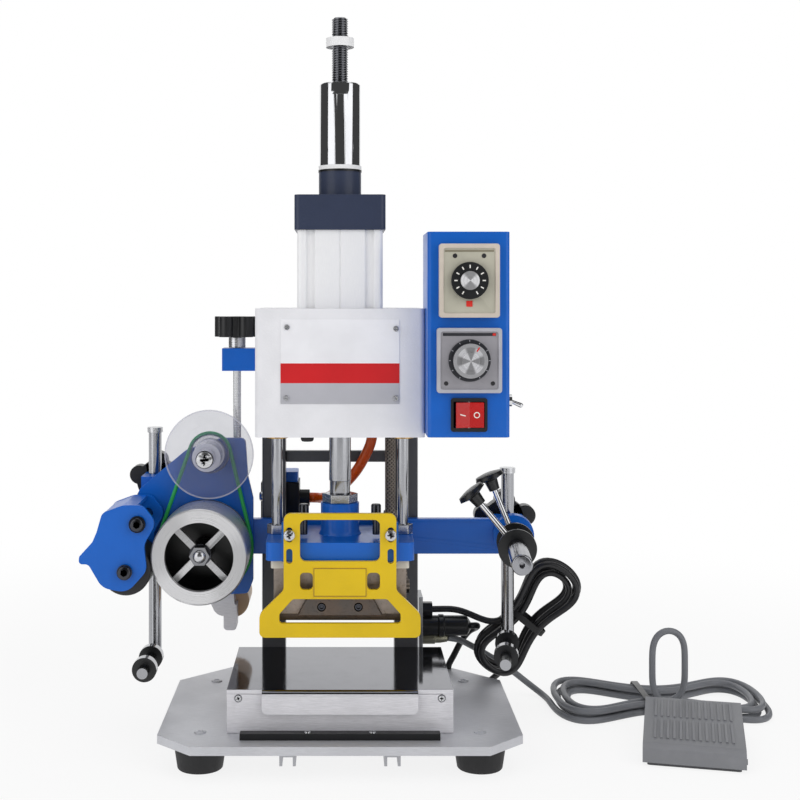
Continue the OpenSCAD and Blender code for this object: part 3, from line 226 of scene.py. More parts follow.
class Finish(Tree):
    """One material while it is made."""

    def __init__(self, name, **constants):
        self.material = bpy.data.materials.new(name)
        self.material.use_nodes = True
        super().__init__(self.material.node_tree)
        self.shader = self.tree.nodes["Principled BSDF"]
        self.set(**constants)
        FINISHES[name] = self.material

    def set(self, **sockets):
        """Feeds shader sockets: Base_Color for Base Color, and so on."""
        for key, value in sockets.items():
            self.feed(self.shader.inputs[key.replace("_", " ")], value)
        return self

    def place(self, stretch):
        spot = self.node("ShaderNodeTexCoord", output="Object")
        return self.node("ShaderNodeMapping", None, {"Vector": spot, "Scale": stretch})

    def axes(self):
        """X, Y and Z of the surface in the machine's frame."""
        spot = self.node("ShaderNodeTexCoord", output="Object")
        apart = self.node("ShaderNodeSeparateXYZ", None, {"Vector": spot})
        return [Value(self, s) for s in apart.socket.node.outputs]

    def noise(self, size, stretch=(1, 1, 1), detail=3, rough=0.55, vector=None):
        """Cloudy pattern about 0.5, its patches about size across."""
        return self.node("ShaderNodeTexNoise", None, {
            "Vector": vector or self.place(stretch), "Scale": 1 / size, "Detail": detail, "Roughness": rough})

    def blend(self, factor, first, second):
        """First colour at 0, second at 1."""
        return self.node("ShaderNodeMix", {"data_type": "RGBA"}, {0: factor, 6: first, 7: second}, 2)

    def bump(self, height, depth):
        return self.set(Normal=self.node("ShaderNodeBump", None, {
            "Strength": 1, "Distance": depth, "Height": height}))


def shade(colour, factor):
    """A colour made darker or lighter, no lighter than white."""
    return tuple(min(c * factor, 1) for c in colour)


def paint(name, colour, gloss=0.3, peel=1.0):
    """Sprayed paint: orange peel, slow change of tone, fine dust."""
    f = Finish(name, Coat_Weight=0.1, Coat_Roughness=0.12, Specular_IOR_Level=0.35)
    tone = f.noise(0.04, detail=4)
    dust = f.noise(0.0011, detail=2).step(0.66, 0.74)
    body = f.blend(tone.step(0.3, 0.7), shade(colour, 0.95), shade(colour, 1.04))
    f.set(Base_Color=f.blend(dust * 0.25, body, shade(colour, 1.25)),
          Roughness=f.noise(0.012) * 0.16 + (gloss - 0.06) + dust * 0.12)
    return f.bump(f.noise(0.0016, detail=2), 0.00006 * peel)


def brushed(name, colour, rough=0.32, stretch=(1, 30, 30), metallic=1.0, contrast=0.16):
    """Metal with fine lines along the unstretched axis."""
    f = Finish(name, Metallic=metallic)
    line = f.noise(0.0075, stretch, detail=5, rough=0.7)
    cloud = f.noise(0.03, detail=4)
    tone = f.blend(line.step(0.3, 0.7), shade(colour, 1 - contrast), shade(colour, 1 + contrast / 2))
    f.set(Base_Color=f.blend(cloud.step(0.35, 0.7) * 0.35, tone, shade(colour, 1 - contrast)),
          Roughness=line * 0.2 + cloud * 0.14 + (rough - 0.16))
    return f.bump(line, 0.00002)


def polished(name, colour, rough=0.07):
    """Bright plated metal with faint wipe marks."""
    f = Finish(name, Metallic=1.0)
    smear = f.noise(0.014, (1, 1, 0.4), detail=4)
    scratch = f.noise(0.0016, (1, 1, 0.08), detail=2).step(0.64, 0.72)
    f.set(Base_Color=f.blend(smear.step(0.4, 0.75) * 0.4, colour, shade(colour, 0.82)),
          Roughness=smear * 0.1 + scratch * 0.12 + (rough - 0.03))
    return f.bump(scratch, 0.000008)


def turned(name, colour, x, z, rough=0.25, metallic=0.6, glints=0, turn=90, dark=0.36, cap=1.0):
    """Lathe-turned metal: rings round an axis along Y at x, z, and within cap pairs of painted highlights
    (glints) by angle round the axis, with painted shade of strength dark between them.
    """
    f = Finish(name, Metallic=metallic)
    sx, sy, sz = f.axes()
    radius = (sx - x).hypot(sz - z)
    rings = f.node("ShaderNodeCombineXYZ", None, {0: radius * 60, 1: sy * 60, 2: 0.3})
    line = f.noise(0.02, detail=6, rough=0.75, vector=rings)
    cloud = f.noise(0.02, detail=3)
    tone = f.blend(line.step(0.3, 0.72), shade(colour, 0.74), shade(colour, 1.08))
    if glints:
        angle = f.node("ShaderNodeMath", {"operation": "ARCTAN2"}, {0: sz - z, 1: sx - x})
        # Painted highlights: sectors made lighter or darker by their angle round the axis, as a turned face
        # catches light; beyond cap a plain mid tone
        painted_glint = (angle * (2 * glints) + math.radians(turn)).sine().step(-0.5, 0.6)
        beyond = radius > cap
        tone = f.blend(painted_glint * (1 - beyond) + beyond * 0.3, shade(colour, dark), tone)
    f.set(Base_Color=tone, Roughness=line * 0.22 + cloud * 0.1 + (rough - 0.12))
    return f.bump(line, 0.00003)


def plastic(name, colour, rough=0.4, grain=0.0007, depth=0.00004):
    """Moulded plastic or rubber with a fine grain and handled patches."""
    f = Finish(name)
    worn = f.noise(0.02, detail=4).step(0.35, 0.75)
    pores = f.noise(grain, detail=2)
    f.set(Base_Color=f.blend(worn * 0.5, colour, shade(colour, 1.28)),
          Roughness=pores * 0.12 + worn * 0.1 + (rough - 0.1))
    return f.bump(pores, depth)


def stained(name, colour, tint):
    """Metal that heat has coloured unevenly."""
    f = Finish(name, Metallic=0.75)
    cloud = f.noise(0.018, detail=5)
    specks = f.noise(0.0014, detail=3).step(0.55, 0.7)
    body = f.blend(cloud.step(0.35, 0.68), shade(colour, 0.8), tint)
    f.set(Base_Color=f.blend(specks * 0.35, body, shade(colour, 0.55)),
          Roughness=cloud * 0.25 + specks * 0.15 + 0.26)
    return f.bump(specks, 0.00003)


def braid(name, colour, x, y):
    """Braided sleeve round an upright axis at x, y."""
    f = Finish(name, Metallic=0.3)
    sx, sy, sz = f.axes()
    angle = f.node("ShaderNodeMath", {"operation": "ARCTAN2"}, {0: sy - y, 1: sx - x})
    climb = sz * 2200
    strands = (angle * 8 + climb).sine().larger((angle * 8 - climb).sine())
    wear = f.noise(0.012, detail=3)
    body = f.blend(strands.step(-0.3, 0.9), shade(colour, 0.45), shade(colour, 1.2))
    f.set(Base_Color=f.blend(wear.step(0.4, 0.7) * 0.4, body, shade(colour, 0.6)),
          Roughness=strands * 0.08 + 0.5)
    return f.bump(strands, 0.0005)


def sheath(name, colour, rough=0.42):
    """Cord sheath: matt, lightly dusty, with a fine skin."""
    f = Finish(name)
    dust = f.noise(0.015, detail=4).step(0.42, 0.72)
    skin = f.noise(0.0006, detail=2)
    f.set(Base_Color=f.blend(dust * 0.4, colour, shade(colour, 1.35)),
          Roughness=dust * 0.15 + skin * 0.08 + (rough - 0.06))
    return f.bump(skin, 0.00003)


def clear(name, colour, smoke, x, z, hub_r, rim_r):
    """Clear moulded reel with a smoky web, denser at its hub and rim, its axis along Y at x, z."""
    f = Finish(name, IOR=1.45)
    sx, _, sz = f.axes()
    radius = (sx - x).hypot(sz - z)
    cloud = f.noise(0.01, detail=3)
    rings = (radius * 4200).sine()
    inner, outer = radius < hub_r, radius > rim_r
    dense = f.blend(cloud.step(0.35, 0.7), shade(colour, 0.94), colour)
    f.set(Base_Color=f.blend(inner + outer, smoke, dense), Roughness=cloud * 0.1 + 0.08,
          Alpha=inner * 0.5 + outer * 0.25 + cloud * 0.06 + 0.2)
    return f.bump(rings, 0.00001)


def make_finishes():
    c = colours()
    reel, drum, dial, knob = (middle(n) for n in ("take_up_reel", "feed_drum", "timer_dial", "temp_knob"))
    lead_x, lead_y = 38 * MM, 30 * MM
    paint("blue", c.blue)
    paint("yellow", c.yellow, gloss=0.32)
    paint("navy", c.navy, gloss=0.4, peel=2)
    paint("white", c.white, gloss=0.45, peel=1.6)
    paint("strip_black", c.black, gloss=0.4)
    paint("label_white", shade(c.white, 1.06), gloss=0.36, peel=0.3)
    paint("label_red", c.label_red, gloss=0.36, peel=0.3)
    paint("label_grey", c.label_grey, gloss=0.36, peel=0.3)
    paint("tan", rgb("dcb892"), gloss=0.4)
    paint("post_grey", c.dark_steel, gloss=0.34)
    brushed("plate_aluminium", c.aluminium, rough=0.42, metallic=0.55)
    brushed("ground_grey", rgb("b4b5ba"), rough=0.36, metallic=0.7)
    brushed("anodised", rgb("fbfbfd"), rough=0.36, stretch=(30, 30, 1), metallic=0.05, contrast=0.06)
    brushed("bright_steel", c.steel, rough=0.24, stretch=(1, 1, 8))
    brushed("dark_steel", shade(c.dark_steel, 0.45), rough=0.34, stretch=(8, 8, 8))
    brushed("satin", rgb("e4e3e8"), rough=0.4, stretch=(1, 20, 20), metallic=0.25)
    brushed("bracket", rgb("a9abae"), rough=0.34, stretch=(1, 20, 20))
    brushed("brass", rgb("c9a15a"), rough=0.28, stretch=(8, 8, 8))
    brushed("connector", rgb("a19f8c"), rough=0.3, stretch=(1, 14, 14))
    polished("mirror_plate", rgb("7c7d83"), rough=0.06)
    polished("chrome", rgb("dfe0e3"), rough=0.05)
    polished("black_oxide", rgb("4a4b50"), rough=0.24)
    polished("screw_steel", rgb("8c8d91"), rough=0.16)
    polished("rod_steel", rgb("a8a9ad"), rough=0.14)
    # The drum's rim, the timer's dial cap and the knob's cap carry painted highlights and painted shade, set
    # by glints, turn and dark
    turned("drum_metal", rgb("e6e6e8"), drum.x, drum.z, glints=1, turn=-50, dark=0.7)
    turned("dial_cap", rgb("f0f0f2"), dial.x, dial.z, metallic=0.2, glints=1)
    turned("knob_chrome", rgb("dcdce0"), knob.x, knob.z, metallic=0.2, glints=2, turn=-90, cap=9.2 * MM)
    polished("spindle_metal", rgb("a2a3a8"), rough=0.2)
    stained("heater", c.stained, rgb("b0a298"))
    stained("die", shade(c.stained, 0.42), rgb("6d5f55"))
    stained("die_face", rgb("b8662c"), rgb("c9803f"))
    plastic("board", rgb("d8d2c6"), rough=0.6, grain=0.0012)
    plastic("rubber", rgb("1d1d1f"), rough=0.62, grain=0.0009)
    plastic("roller", rgb("222224"), rough=0.55, grain=0.0006)
    plastic("black", c.black, rough=0.34)
    plastic("timer_frame", c.beige, rough=0.42)
    plastic("timer_face", rgb("b9b6a6"))
    plastic("controller_frame", c.grey)
    plastic("controller_face", rgb("98969c"), rough=0.36)
    plastic("ring_dark", rgb("2c2d33"), rough=0.36)
    plastic("red", c.red, rough=0.26)
    plastic("lamp_red", rgb("d8342c"), rough=0.2)
    plastic("mark_white", rgb("f2efe8"))
    plastic("mark_dark", rgb("28272a"))
    plastic("sign_line", rgb("8a6212"))
    # Painted shadow: colour of the strip under the top edge of the timer's recess
    plastic("painted_recess_shadow", rgb("857f6c"))
    plastic("white_nut", rgb("f1f1f2"))
    plastic("pedal", c.pedal, rough=0.5, grain=0.0009, depth=0.00008)
    plastic("pedal_dark", shade(c.pedal, 0.45), rough=0.55)
    plastic("air_tube", c.orange, rough=0.25)
    plastic("belt", c.green)
    braid("braid", rgb("9a8f83"), lead_x, lead_y)
    sheath("pedal_sheath", c.pedal_cord)
    sheath("mains_sheath", c.mains_cord, rough=0.36)
    clear("reel", rgb("cfd0de"), rgb("868aa4"), reel.x, reel.z, hub_r=11.5 * MM, rim_r=32.5 * MM)


def middle(node):
    """Middle of a node's box."""
    low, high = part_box(node)
    return (low + high) / 2


def link(name, data):
    """Puts new data into the scene as an object."""
    made = bpy.data.objects.new(name, data)
    bpy.context.scene.collection.objects.link(made)
    return made


def carry(piece, body, replaced=()):
    """Lets a piece ride on a body and the nodes it stands for."""
    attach(piece, body)
    if replaced:
        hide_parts(*replaced)
    return piece


def off_axis(p, axis):
    """Millimetres from a place to the line along Y through axis, which is in metres."""
    return math.hypot(p.x - axis.x / MM, p.z - axis.z / MM)


def solid(name, bm, body, finishes, replaced=(), edge=0.0, crease=35):
    """Makes a piece of a bmesh, smooth but for edges sharper than crease, and rounds those by edge in mm."""
    mesh = bpy.data.meshes.new(name)
    bm.to_mesh(mesh)
    bm.free()
    for finish in finishes:
        mesh.materials.append(FINISHES[finish])
    mesh.shade_smooth()
    mesh.set_sharp_from_angle(angle=math.radians(crease))
    made = link(name, mesh)
    if edge:
        rounding = made.modifiers.new("edge", "BEVEL")
        rounding.width = edge * MM
        rounding.segments = 2
        rounding.limit_method = "ANGLE"
        rounding.angle_limit = math.radians(crease)
        rounding.harden_normals = True
    return carry(made, body, replaced)


def node_mesh(node):
    """A merged copy of a node's mesh, its flat faces whole."""
    bm = bmesh.new()
    bm.from_mesh(bpy.data.objects[node].data)
    bmesh.ops.remove_doubles(bm, verts=bm.verts, dist=1e-6)
    bmesh.ops.dissolve_limit(bm, angle_limit=math.radians(0.5), verts=bm.verts, edges=bm.edges)
    return bm


def dressed(node, *finishes, choose=None, edge=None):
    """Stands for a node: its shape with rounded edges. Choose gives a face's finish from its place in mm."""
    bm = node_mesh(node)
    if choose:
        for face in bm.faces:
            face.material_index = int(choose(face.calc_center_median() / MM, face.normal))
    width = sizes().edge / MM if edge is None else edge
    return solid(f"{node}_skin", bm, BODY_OF[node], finishes, [node], width)


def stand(bm, before, at, out, twist=0.0):
    """Turns the vertices made since before from +Z to out, and moves them to at."""
    turn = Vector(UP).rotation_difference(Vector(out)).to_matrix().to_4x4()
    matrix = Matrix.Translation(at) @ turn @ Matrix.Rotation(twist, 4, "Z")
    bmesh.ops.transform(bm, matrix=matrix, verts=[v for v in bm.verts if v not in before])


def lathe(bm, outline, at=(0, 0, 0), out=UP, steps=48):
    """Turns an outline of radius and height in millimetres about out through at."""
    before = set(bm.verts)
    verts = [bm.verts.new(mm(r, 0, z)) for r, z in outline]
    edges = [bm.edges.new(pair) for pair in zip(verts, verts[1:])]
    bmesh.ops.spin(bm, geom=verts + edges, cent=(0, 0, 0), axis=UP, dvec=(0, 0, 0),
                   angle=FULL_TURN, steps=steps, use_merge=True)
    fresh = [v for v in bm.verts if v not in before]
    bmesh.ops.remove_doubles(bm, verts=fresh, dist=1e-7)
    recalculate(bm, before)
    stand(bm, before, at, out)


def recalculate(bm, before):
    """Points the faces made since before outwards."""
    fresh = [v for v in bm.verts if v not in before]
    bmesh.ops.recalc_face_normals(bm, faces=list({f for v in fresh for f in v.link_faces}))


def cube(bm, matrix, finish=0):
    """A unit cube under a matrix, in the piece's finish of that number."""
    made = bmesh.ops.create_cube(bm, size=1, matrix=matrix)["verts"]
    for face in {f for v in made for f in v.link_faces}:
        face.material_index = finish


def block(bm, low, high, finish=0):
    """A box between two corners in metres."""
    low, high = Vector(low), Vector(high)
    cube(bm, Matrix.Translation((low + high) / 2) @ Matrix.Diagonal((*(high - low), 1)), finish)


def cut(bm, at, out, trim=False):
    """Cuts a bmesh by the plane through at that is square to out, and can trim what lies beyond."""
    bmesh.ops.bisect_plane(bm, geom=bm.verts[:] + bm.edges[:] + bm.faces[:], plane_co=at, plane_no=out,
                           clear_outer=trim, dist=1e-7)


def rim(bm, radius, height, count):
    """A circle of count sides about Z, in millimetres."""
    return bmesh.ops.create_circle(bm, radius=radius * MM, segments=count,
                                   matrix=Matrix.Translation(mm(0, 0, height)))["verts"]


def loop_edges(verts):
    """Edges that join a ring of vertices."""
    ring = set(verts)
    return [e for e in {e for v in verts for e in v.link_edges} if set(e.verts) <= ring]


def recessed_head(bm, at, out, radius, height, points, depth, twist=0.0):
    """Screw head with a driver recess: points is the recess outline, as shares of the radius."""
    sides, shoulder, crown, taper = 32, 0.6, 0.84, 0.8
    before = set(bm.verts)
    foot = rim(bm, radius, 0, sides)
    waist = rim(bm, radius, height * shoulder, sides)
    top = rim(bm, radius * crown, height, sides)
    mouth = [bm.verts.new(mm(x * radius, y * radius, height)) for x, y in points]
    floor = [bm.verts.new(mm(x * radius * taper, y * radius * taper, height - depth)) for x, y in points]
    for ring in (mouth, floor):
        for pair in zip(ring, ring[1:] + ring[:1]):
            bm.edges.new(pair)
    rings = [foot, waist, top, mouth, floor]
    for low, high in zip(rings, rings[1:]):
        bmesh.ops.bridge_loops(bm, edges=loop_edges(low) + loop_edges(high))
    bm.faces.new(floor)
    recalculate(bm, before)
    stand(bm, before, at, out, twist)


def cross_outline():
    """Outline of a cross recess, as shares of the head's radius."""
    arm, half = 0.56, 0.13
    quarter = [(arm, -half), (arm, half), (half, half)]
    return [(x * c - y * s, x * s + y * c) for c, s in ((1, 0), (0, 1), (-1, 0), (0, -1)) for x, y in quarter]


def hex_outline():
    """Outline of a socket recess, as shares of the head's radius."""
    reach = 0.56
    angles = [math.radians(60 * i) for i in range(6)]
    return [(reach * math.cos(a), reach * math.sin(a)) for a in angles]


def screws(name, spots, out, radius, height, depth, outline=cross_outline, body="frame",
           finish="bright_steel", edge=0.12, twist=0.4, step=1.1):
    """Like screws whose heads stand on the spots, given in metres, facing out. The first recess is turned
    by twist, and each further one by step more, in radians."""
    bm = bmesh.new()
    for i, spot in enumerate(spots):
        recessed_head(bm, spot, out, radius, height, outline(), depth, twist + step * i)
    return solid(name, bm, body, [finish], edge=edge, crease=50)


def back_screws(name, node, inset):
    """Four cover screws near the corners of a node's rear face."""
    low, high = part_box(node)
    gap = inset * MM
    spots = [(x, high.y, z) for x in (low.x + gap, high.x - gap) for z in (low.z + gap, high.z - gap)]
    return screws(name, spots, TO_REAR, radius=2.6, height=1.5, depth=0.9)


def swept(name, points, radius, finish, closed=False, replaced=()):
    """A round tube on the frame along points given in metres."""
    curve = bpy.data.curves.new(name, "CURVE")
    curve.dimensions = "3D"
    curve.bevel_depth = radius
    curve.bevel_resolution = 5
    curve.use_fill_caps = True
    spline = curve.splines.new("POLY")
    spline.points.add(len(points) - 1)
    for spot, point in zip(spline.points, points):
        spot.co = (*point, 1)
    spline.use_cyclic_u = closed
    spline.use_smooth = True
    curve.materials.append(FINISHES[finish])
    return carry(link(name, curve), "frame", replaced)


def smooth(points, steps):
    """Curve through points, with that many steps from each to the next."""
    spots = [Vector(p) for p in points]
    spots = [spots[0], *spots, spots[-1]]
    path = []
    for a, b, c, d in zip(spots, spots[1:], spots[2:], spots[3:]):
        for i in range(steps):
            t = i / steps
            path.append(0.5 * (2 * b + (c - a) * t + (2 * a - 5 * b + 4 * c - d) * t * t
                               + (3 * b - a - 3 * c + d) * t ** 3))
    return path + [spots[-1]]


def eased(points, gap=3, passes=8):
    """Points gap apart along a path in millimetres, with its bends eased and its ends kept."""
    spots = [points[0]]
    due = gap
    for a, b in zip(points, points[1:]):
        reach = (b - a).length
        while due <= reach:
            spots.append(a.lerp(b, due / reach))
            due += gap
        due -= reach
    spots.append(points[-1])
    for _ in range(passes):
        between = [(a + 2 * b + c) / 4 for a, b, c in zip(spots, spots[1:], spots[2:])]
        spots = [spots[0], *between, spots[-1]]
    return spots


def path_length(points):
    """Length of a path through points."""
    return sum((b - a).length for a, b in zip(points, points[1:]))


def staged(name, bm, finish):
    """Makes a stage object of a bmesh."""
    mesh = bpy.data.meshes.new(name)
    bm.to_mesh(mesh)
    bm.free()
    mesh.materials.append(FINISHES[finish])
    made = link(name, mesh)
    return made


def dark_walls(brightness):
    """Dark walls and ceiling that only reflections see, open to the pale background behind the machine."""
    Finish("walls", Base_Color=(0, 0, 0), Specular_IOR_Level=0, Emission_Color=(1, 1, 1),
           Emission_Strength=brightness)
    room_low, room_high = (-3, -3, 0), (3, 1.7, 3)
    window_half, window_top = 1.3, 1.4
    bm = bmesh.new()
    block(bm, room_low, room_high)
    cut(bm, (-window_half, 0, 0), TO_RIGHT)
    cut(bm, (window_half, 0, 0), TO_RIGHT)
    cut(bm, (0, 0, window_top), UP)
    gone = []
    for face in bm.faces:
        spot = face.calc_center_median()
        window = face.normal.y > FACING and abs(spot.x) < window_half and spot.z < window_top
        if window or face.normal.z < -FACING:
            gone.append(face)
    bmesh.ops.delete(bm, geom=gone, context="FACES")
    made = staged("dark_walls", bm, "walls")
    made.visible_camera = False
    made.visible_diffuse = False
    made.visible_shadow = False
    made.visible_transmission = False


def lamp(name, power, at, aim, width, height):
    """A soft box that faces aim."""
    light = bpy.data.lights.new(name, "AREA")
    light.shape = "RECTANGLE"
    light.size = width
    light.size_y = height
    light.energy = power
    made = link(name, light)
    made.visible_camera = False
    made.location = at
    made.rotation_euler = (Vector(aim) - Vector(at)).to_track_quat("-Z", "Y").to_euler()


def white_rays(tree):
    """1 for rays from the camera, off a gloss or through glass, which all see the same white."""
    camera, glossy, through = (tree.node("ShaderNodeLightPath", output=f"Is {kind} Ray")
                               for kind in ("Camera", "Glossy", "Transmission"))
    return camera.larger(glossy).larger(through)


def set_camera(view):
    """Level camera at the photograph's viewing angle."""
    camera = bpy.data.cameras.new("camera")
    camera.sensor_width = 36
    camera.lens = view.lens
    camera.clip_start = 0.05
    camera.shift_x, camera.shift_y = view.shift
    made = link("camera", camera)
    made.location = view.eye
    made.rotation_euler = (math.pi / 2, 0, 0)
    bpy.context.scene.camera = made


def lay_floor():
    """Pale floor, white far off, that shows some of its own shade and the machine's shadow near it."""
    half, centre_y = 4.5, 0.4
    shadow_near, shadow_far, near_white = 0.3, 0.9, 0.84
    floor = Finish("floor", Base_Color=(0.93, 0.93, 0.93), Roughness=0.7)
    floor.bump(floor.noise(0.004), 0.00002)
    glow = floor.node("ShaderNodeEmission", None, {"Color": (1, 1, 1), "Strength": 1.0})
    lit = Value(floor, floor.shader.outputs[0])
    x, y, _ = floor.axes()
    far = x.hypot(y).step(shadow_near, shadow_far)
    white = white_rays(floor) * (far * (1 - near_white) + near_white)
    mixed = floor.node("ShaderNodeMixShader", None, {0: white, 1: lit, 2: glow})
    floor.feed(floor.tree.nodes["Material Output"].inputs["Surface"], mixed)
    bm = bmesh.new()
    bmesh.ops.create_grid(bm, x_segments=1, y_segments=1, size=half,
                          matrix=Matrix.Translation((0, centre_y, 0)))
    staged("floor", bm, "floor")


def light_world(ambient):
    """World that lights the machine evenly and is white where it is seen."""
    scene = bpy.context.scene
    scene.world = scene.world or bpy.data.worlds.new("world")
    scene.world.use_nodes = True
    scene.world.node_tree.nodes.clear()
    sky = Tree(scene.world.node_tree)
    strength = white_rays(sky) * (1 - ambient) + ambient
    light = sky.node("ShaderNodeBackground", None, {"Color": (1, 1, 1), "Strength": strength})
    sky.node("ShaderNodeOutputWorld", None, {"Surface": light})


def make_stage():
    view = bpy.context.scene.stamp_view
    bpy.context.scene.view_settings.view_transform = "Standard"
    set_camera(view)
    lay_floor()
    dark_walls(view.mirrored)
    light_world(view.ambient)
    for name, side, power in (("key", -1, view.key), ("fill", 1, view.fill)):
        lamp(name, power, at=(1.15 * side, -0.96, 0.8), aim=(0, 0, 0.25), width=1.2, height=1.6)
    lamp("top", view.top, at=(0, 0.2, 1.9), aim=(0, 0, 0.2), width=1.4, height=1.4)


# Routes of the cords and the air tube, in millimetres
PEDAL_RUN = [(85, 80, 53.3), (89, 80.5, 53), (95, 86, 50.5), (102, 93.5, 45.5), (114, 100, 37.5),
             (128, 106, 28), (141, 110, 18.5), (153, 109, 9), (162, 102, 3.5), (165, 92, 2.6)]
MAINS_RUN = [(73, 80, 76), (79, 80, 76), (92, 79, 76.5), (105, 76, 72), (116, 72, 68), (125, 69, 68.5)]
MAINS_TAIL = [(151, 88, 50), (142, 93, 37), (130, 99, 22), (118, 106, 9), (106, 112, 4), (94, 118, 5.5),
              (85, 120, 7), (80, 120, 7)]
COUPLER_RUN = [(101.4, 80, 63), (105.4, 80, 63), (109, 84, 62), (109, 92, 58.5), (104, 98, 54), (98, 102, 45),
               (92, 101, 34), (88, 97.5, 28), (87, 97, 24.2)]
HOSE_RUN = [(25, 38, 223), (24.4, 38.6, 217), (22, 41, 208), (14, 46, 192), (4, 54, 179), (-7, 67, 168),
            (-14, 77.5, 164.6), (-18, 81.6, 164.1), (-22, 83, 164)]
HOSE_TOP, HOSE_END = (25, 38, 230), (-30, 83, 164)


class Hank:
    """A hank wound to and fro in layers, as the frame's cords are, in millimetres."""
    waist = 6
    loop_step = 7.4
    lobe_step = 2.5
    lobe_swell = 2.6
    layer_step = 6
    steps = 96

    def __init__(self, start, half_length, lobe, centre, along, across, layer):
        self.start = start
        self.half_length = half_length
        self.lobe = lobe
        self.centre = Vector(centre)
        self.along = Vector(along).normalized()
        self.across = Vector(across).normalized()
        self.layer = layer

    def layer_at(self, loops):
        """How many layers up the cord is, climbing in the half turn where the spiral reverses."""
        shares = (min(max(2 * (loops - n * self.layer) + 0.5, 0), 1) for n in (1, 2, 3))
        return sum(c * c * (3 - 2 * c) for c in shares)

    def at(self, loops):
        """The point that many loops along."""
        step = abs(self.layer - loops % (2 * self.layer))
        angle = math.radians(self.start + 360 * loops)
        along = (self.half_length + self.loop_step * step) * math.cos(angle)
        swell = self.lobe_swell * (self.lobe + self.lobe_step * step) * math.cos(angle) ** 2
        across = math.sin(angle) * (self.waist + self.loop_step * step + swell)
        up = self.along.cross(self.across)
        spot = self.centre + self.along * along + self.across * across
        return spot + up * self.layer_step * self.layer_at(loops)

    def path(self, loops):
        count = round(loops * self.steps)
        return [self.at(loops * i / count) for i in range(count + 1)]


def strap(name, centre, along, across, half, low, high, finish, open_foot=False):
    """A flat tie round a hank's waist; all in millimetres."""
    width, thickness, steps = 5, 0.9, 6
    centre, along, across = Vector(centre), Vector(along).normalized(), Vector(across).normalized()
    up = along.cross(across)
    bend = min(half, (high - low) / 2)
    spots = []
    for turn, x, z in ((0, half - bend, high - bend), (90, bend - half, high - bend),
                       (180, bend - half, low + bend), (270, half - bend, low + bend)):
        for i in range(steps + 1):
            a = math.radians(turn + 90 * i / steps)
            spots.append((x + bend * math.cos(a), z + bend * math.sin(a)))
    if open_foot:
        upper = spots[:2 * (steps + 1)]
        spots = [(half, low), *upper, (-half, low)]
    bm = bmesh.new()
    verts = [bm.verts.new((centre + across * x + up * z - along * (width / 2)) * MM) for x, z in spots]
    ring = verts if open_foot else verts + verts[:1]
    edges = [bm.edges.new(pair) for pair in zip(ring, ring[1:])]
    wide = bmesh.ops.extrude_edge_only(bm, edges=edges)["geom"]
    moved = [v for v in wide if isinstance(v, bmesh.types.BMVert)]
    bmesh.ops.translate(bm, vec=along * width * MM, verts=moved)
    bmesh.ops.recalc_face_normals(bm, faces=bm.faces)
    bmesh.ops.solidify(bm, geom=bm.faces[:], thickness=thickness * MM)
    return solid(name, bm, "frame", [finish], edge=0.2)


def standing_loop(foot):
    """The loop of the pedal cord that stands up from its tie at foot, drifting sideways as it turns."""
    radius, height, drift_x, drift_y = 14, 58, 4, -7
    spots = []
    for first, last, lift in ((-80, 0, radius), (0, 180, height - radius), (180, 270, radius)):
        for turn in range(first, last + 1, 10):
            share = (turn + 90) / 360
            a = math.radians(turn)
            x = radius * math.cos(a) + drift_x * share
            spots.append(foot + Vector((x, drift_y * share, radius * math.sin(a) + lift)))
    return spots


def make_pedal_cord():
    """Pedal cord: from its connector down into the tied hank, up the standing loop and into the pedal."""
    hank = Hank(start=180, half_length=69, lobe=29, centre=(252, 78, 2.6), along=TO_RIGHT, across=TO_REAR,
                layer=2.25)
    loops = 4.25
    pedal_front, pedal_turn, pedal_back = Vector((242, -68, 8)), math.radians(14), 107
    standing = standing_loop(hank.at(loops))
    way = Vector((math.sin(pedal_turn), math.cos(pedal_turn), 0))
    relief = pedal_front + pedal_back * way
    bend = [standing[-1] + Vector(p) for p in ((4.6, -1, -0.1), (8.5, -3.6, -0.3), (11.1, -7.5, -0.5))]
    entry = smooth([standing[-1], *bend, relief + 2.4 * way, relief], steps=6)
    lead_in = Vector((0, 5, 0))
    run = smooth(PEDAL_RUN, steps=5) + [hank.at(0) + lead_in]
    points = [p * MM for p in eased(run + hank.path(loops) + standing + entry[1:])]
    cord = swept("pedal_cord", points, sizes().cord / 2, "pedal_sheath",
                 replaced=["pedal_cord_run", "pedal_cord_hank"])
    tie = strap("pedal_tie", (238, 78, 0), hank.along, hank.across, half=29, low=0.3, high=13,
                finish="black", open_foot=True)
    path_length(points)


def make_mains_cord():
    """Mains lead: from its gland into the tied hank behind the post, and down to its plug."""
    along = Vector((0.62, -0.05, 0.78)).normalized()
    across = Vector((0.78, 0, -0.62)).normalized()
    hank = Hank(start=270, half_length=44, lobe=10, centre=(146, 67.5, 69), along=along, across=across,
                layer=1.126)
    loops = 4.5
    start, end, lead_in = hank.at(0), hank.at(loops), 5 * along
    run = smooth(MAINS_RUN + [start - lead_in, start], steps=5)[:-1]
    tail = smooth([end] + MAINS_TAIL, steps=5)[1:]
    points = [p * MM for p in eased(run + hank.path(loops) + tail)]
    cord = swept("mains_cord", points, sizes().cord / 2, "mains_sheath",
                 replaced=["mains_cord_run", "mains_cord_hank"])
    tie = strap("mains_tie", hank.centre, along, across, half=18.5, low=-3.8, high=22.5,
                finish="rubber")
    pins_end = 32
    plug = dressed("mains_plug", "rubber", "bright_steel", choose=lambda p, n: p.x < pins_end)
    path_length(points)


def make_cords():
    make_pedal_cord()
    make_mains_cord()


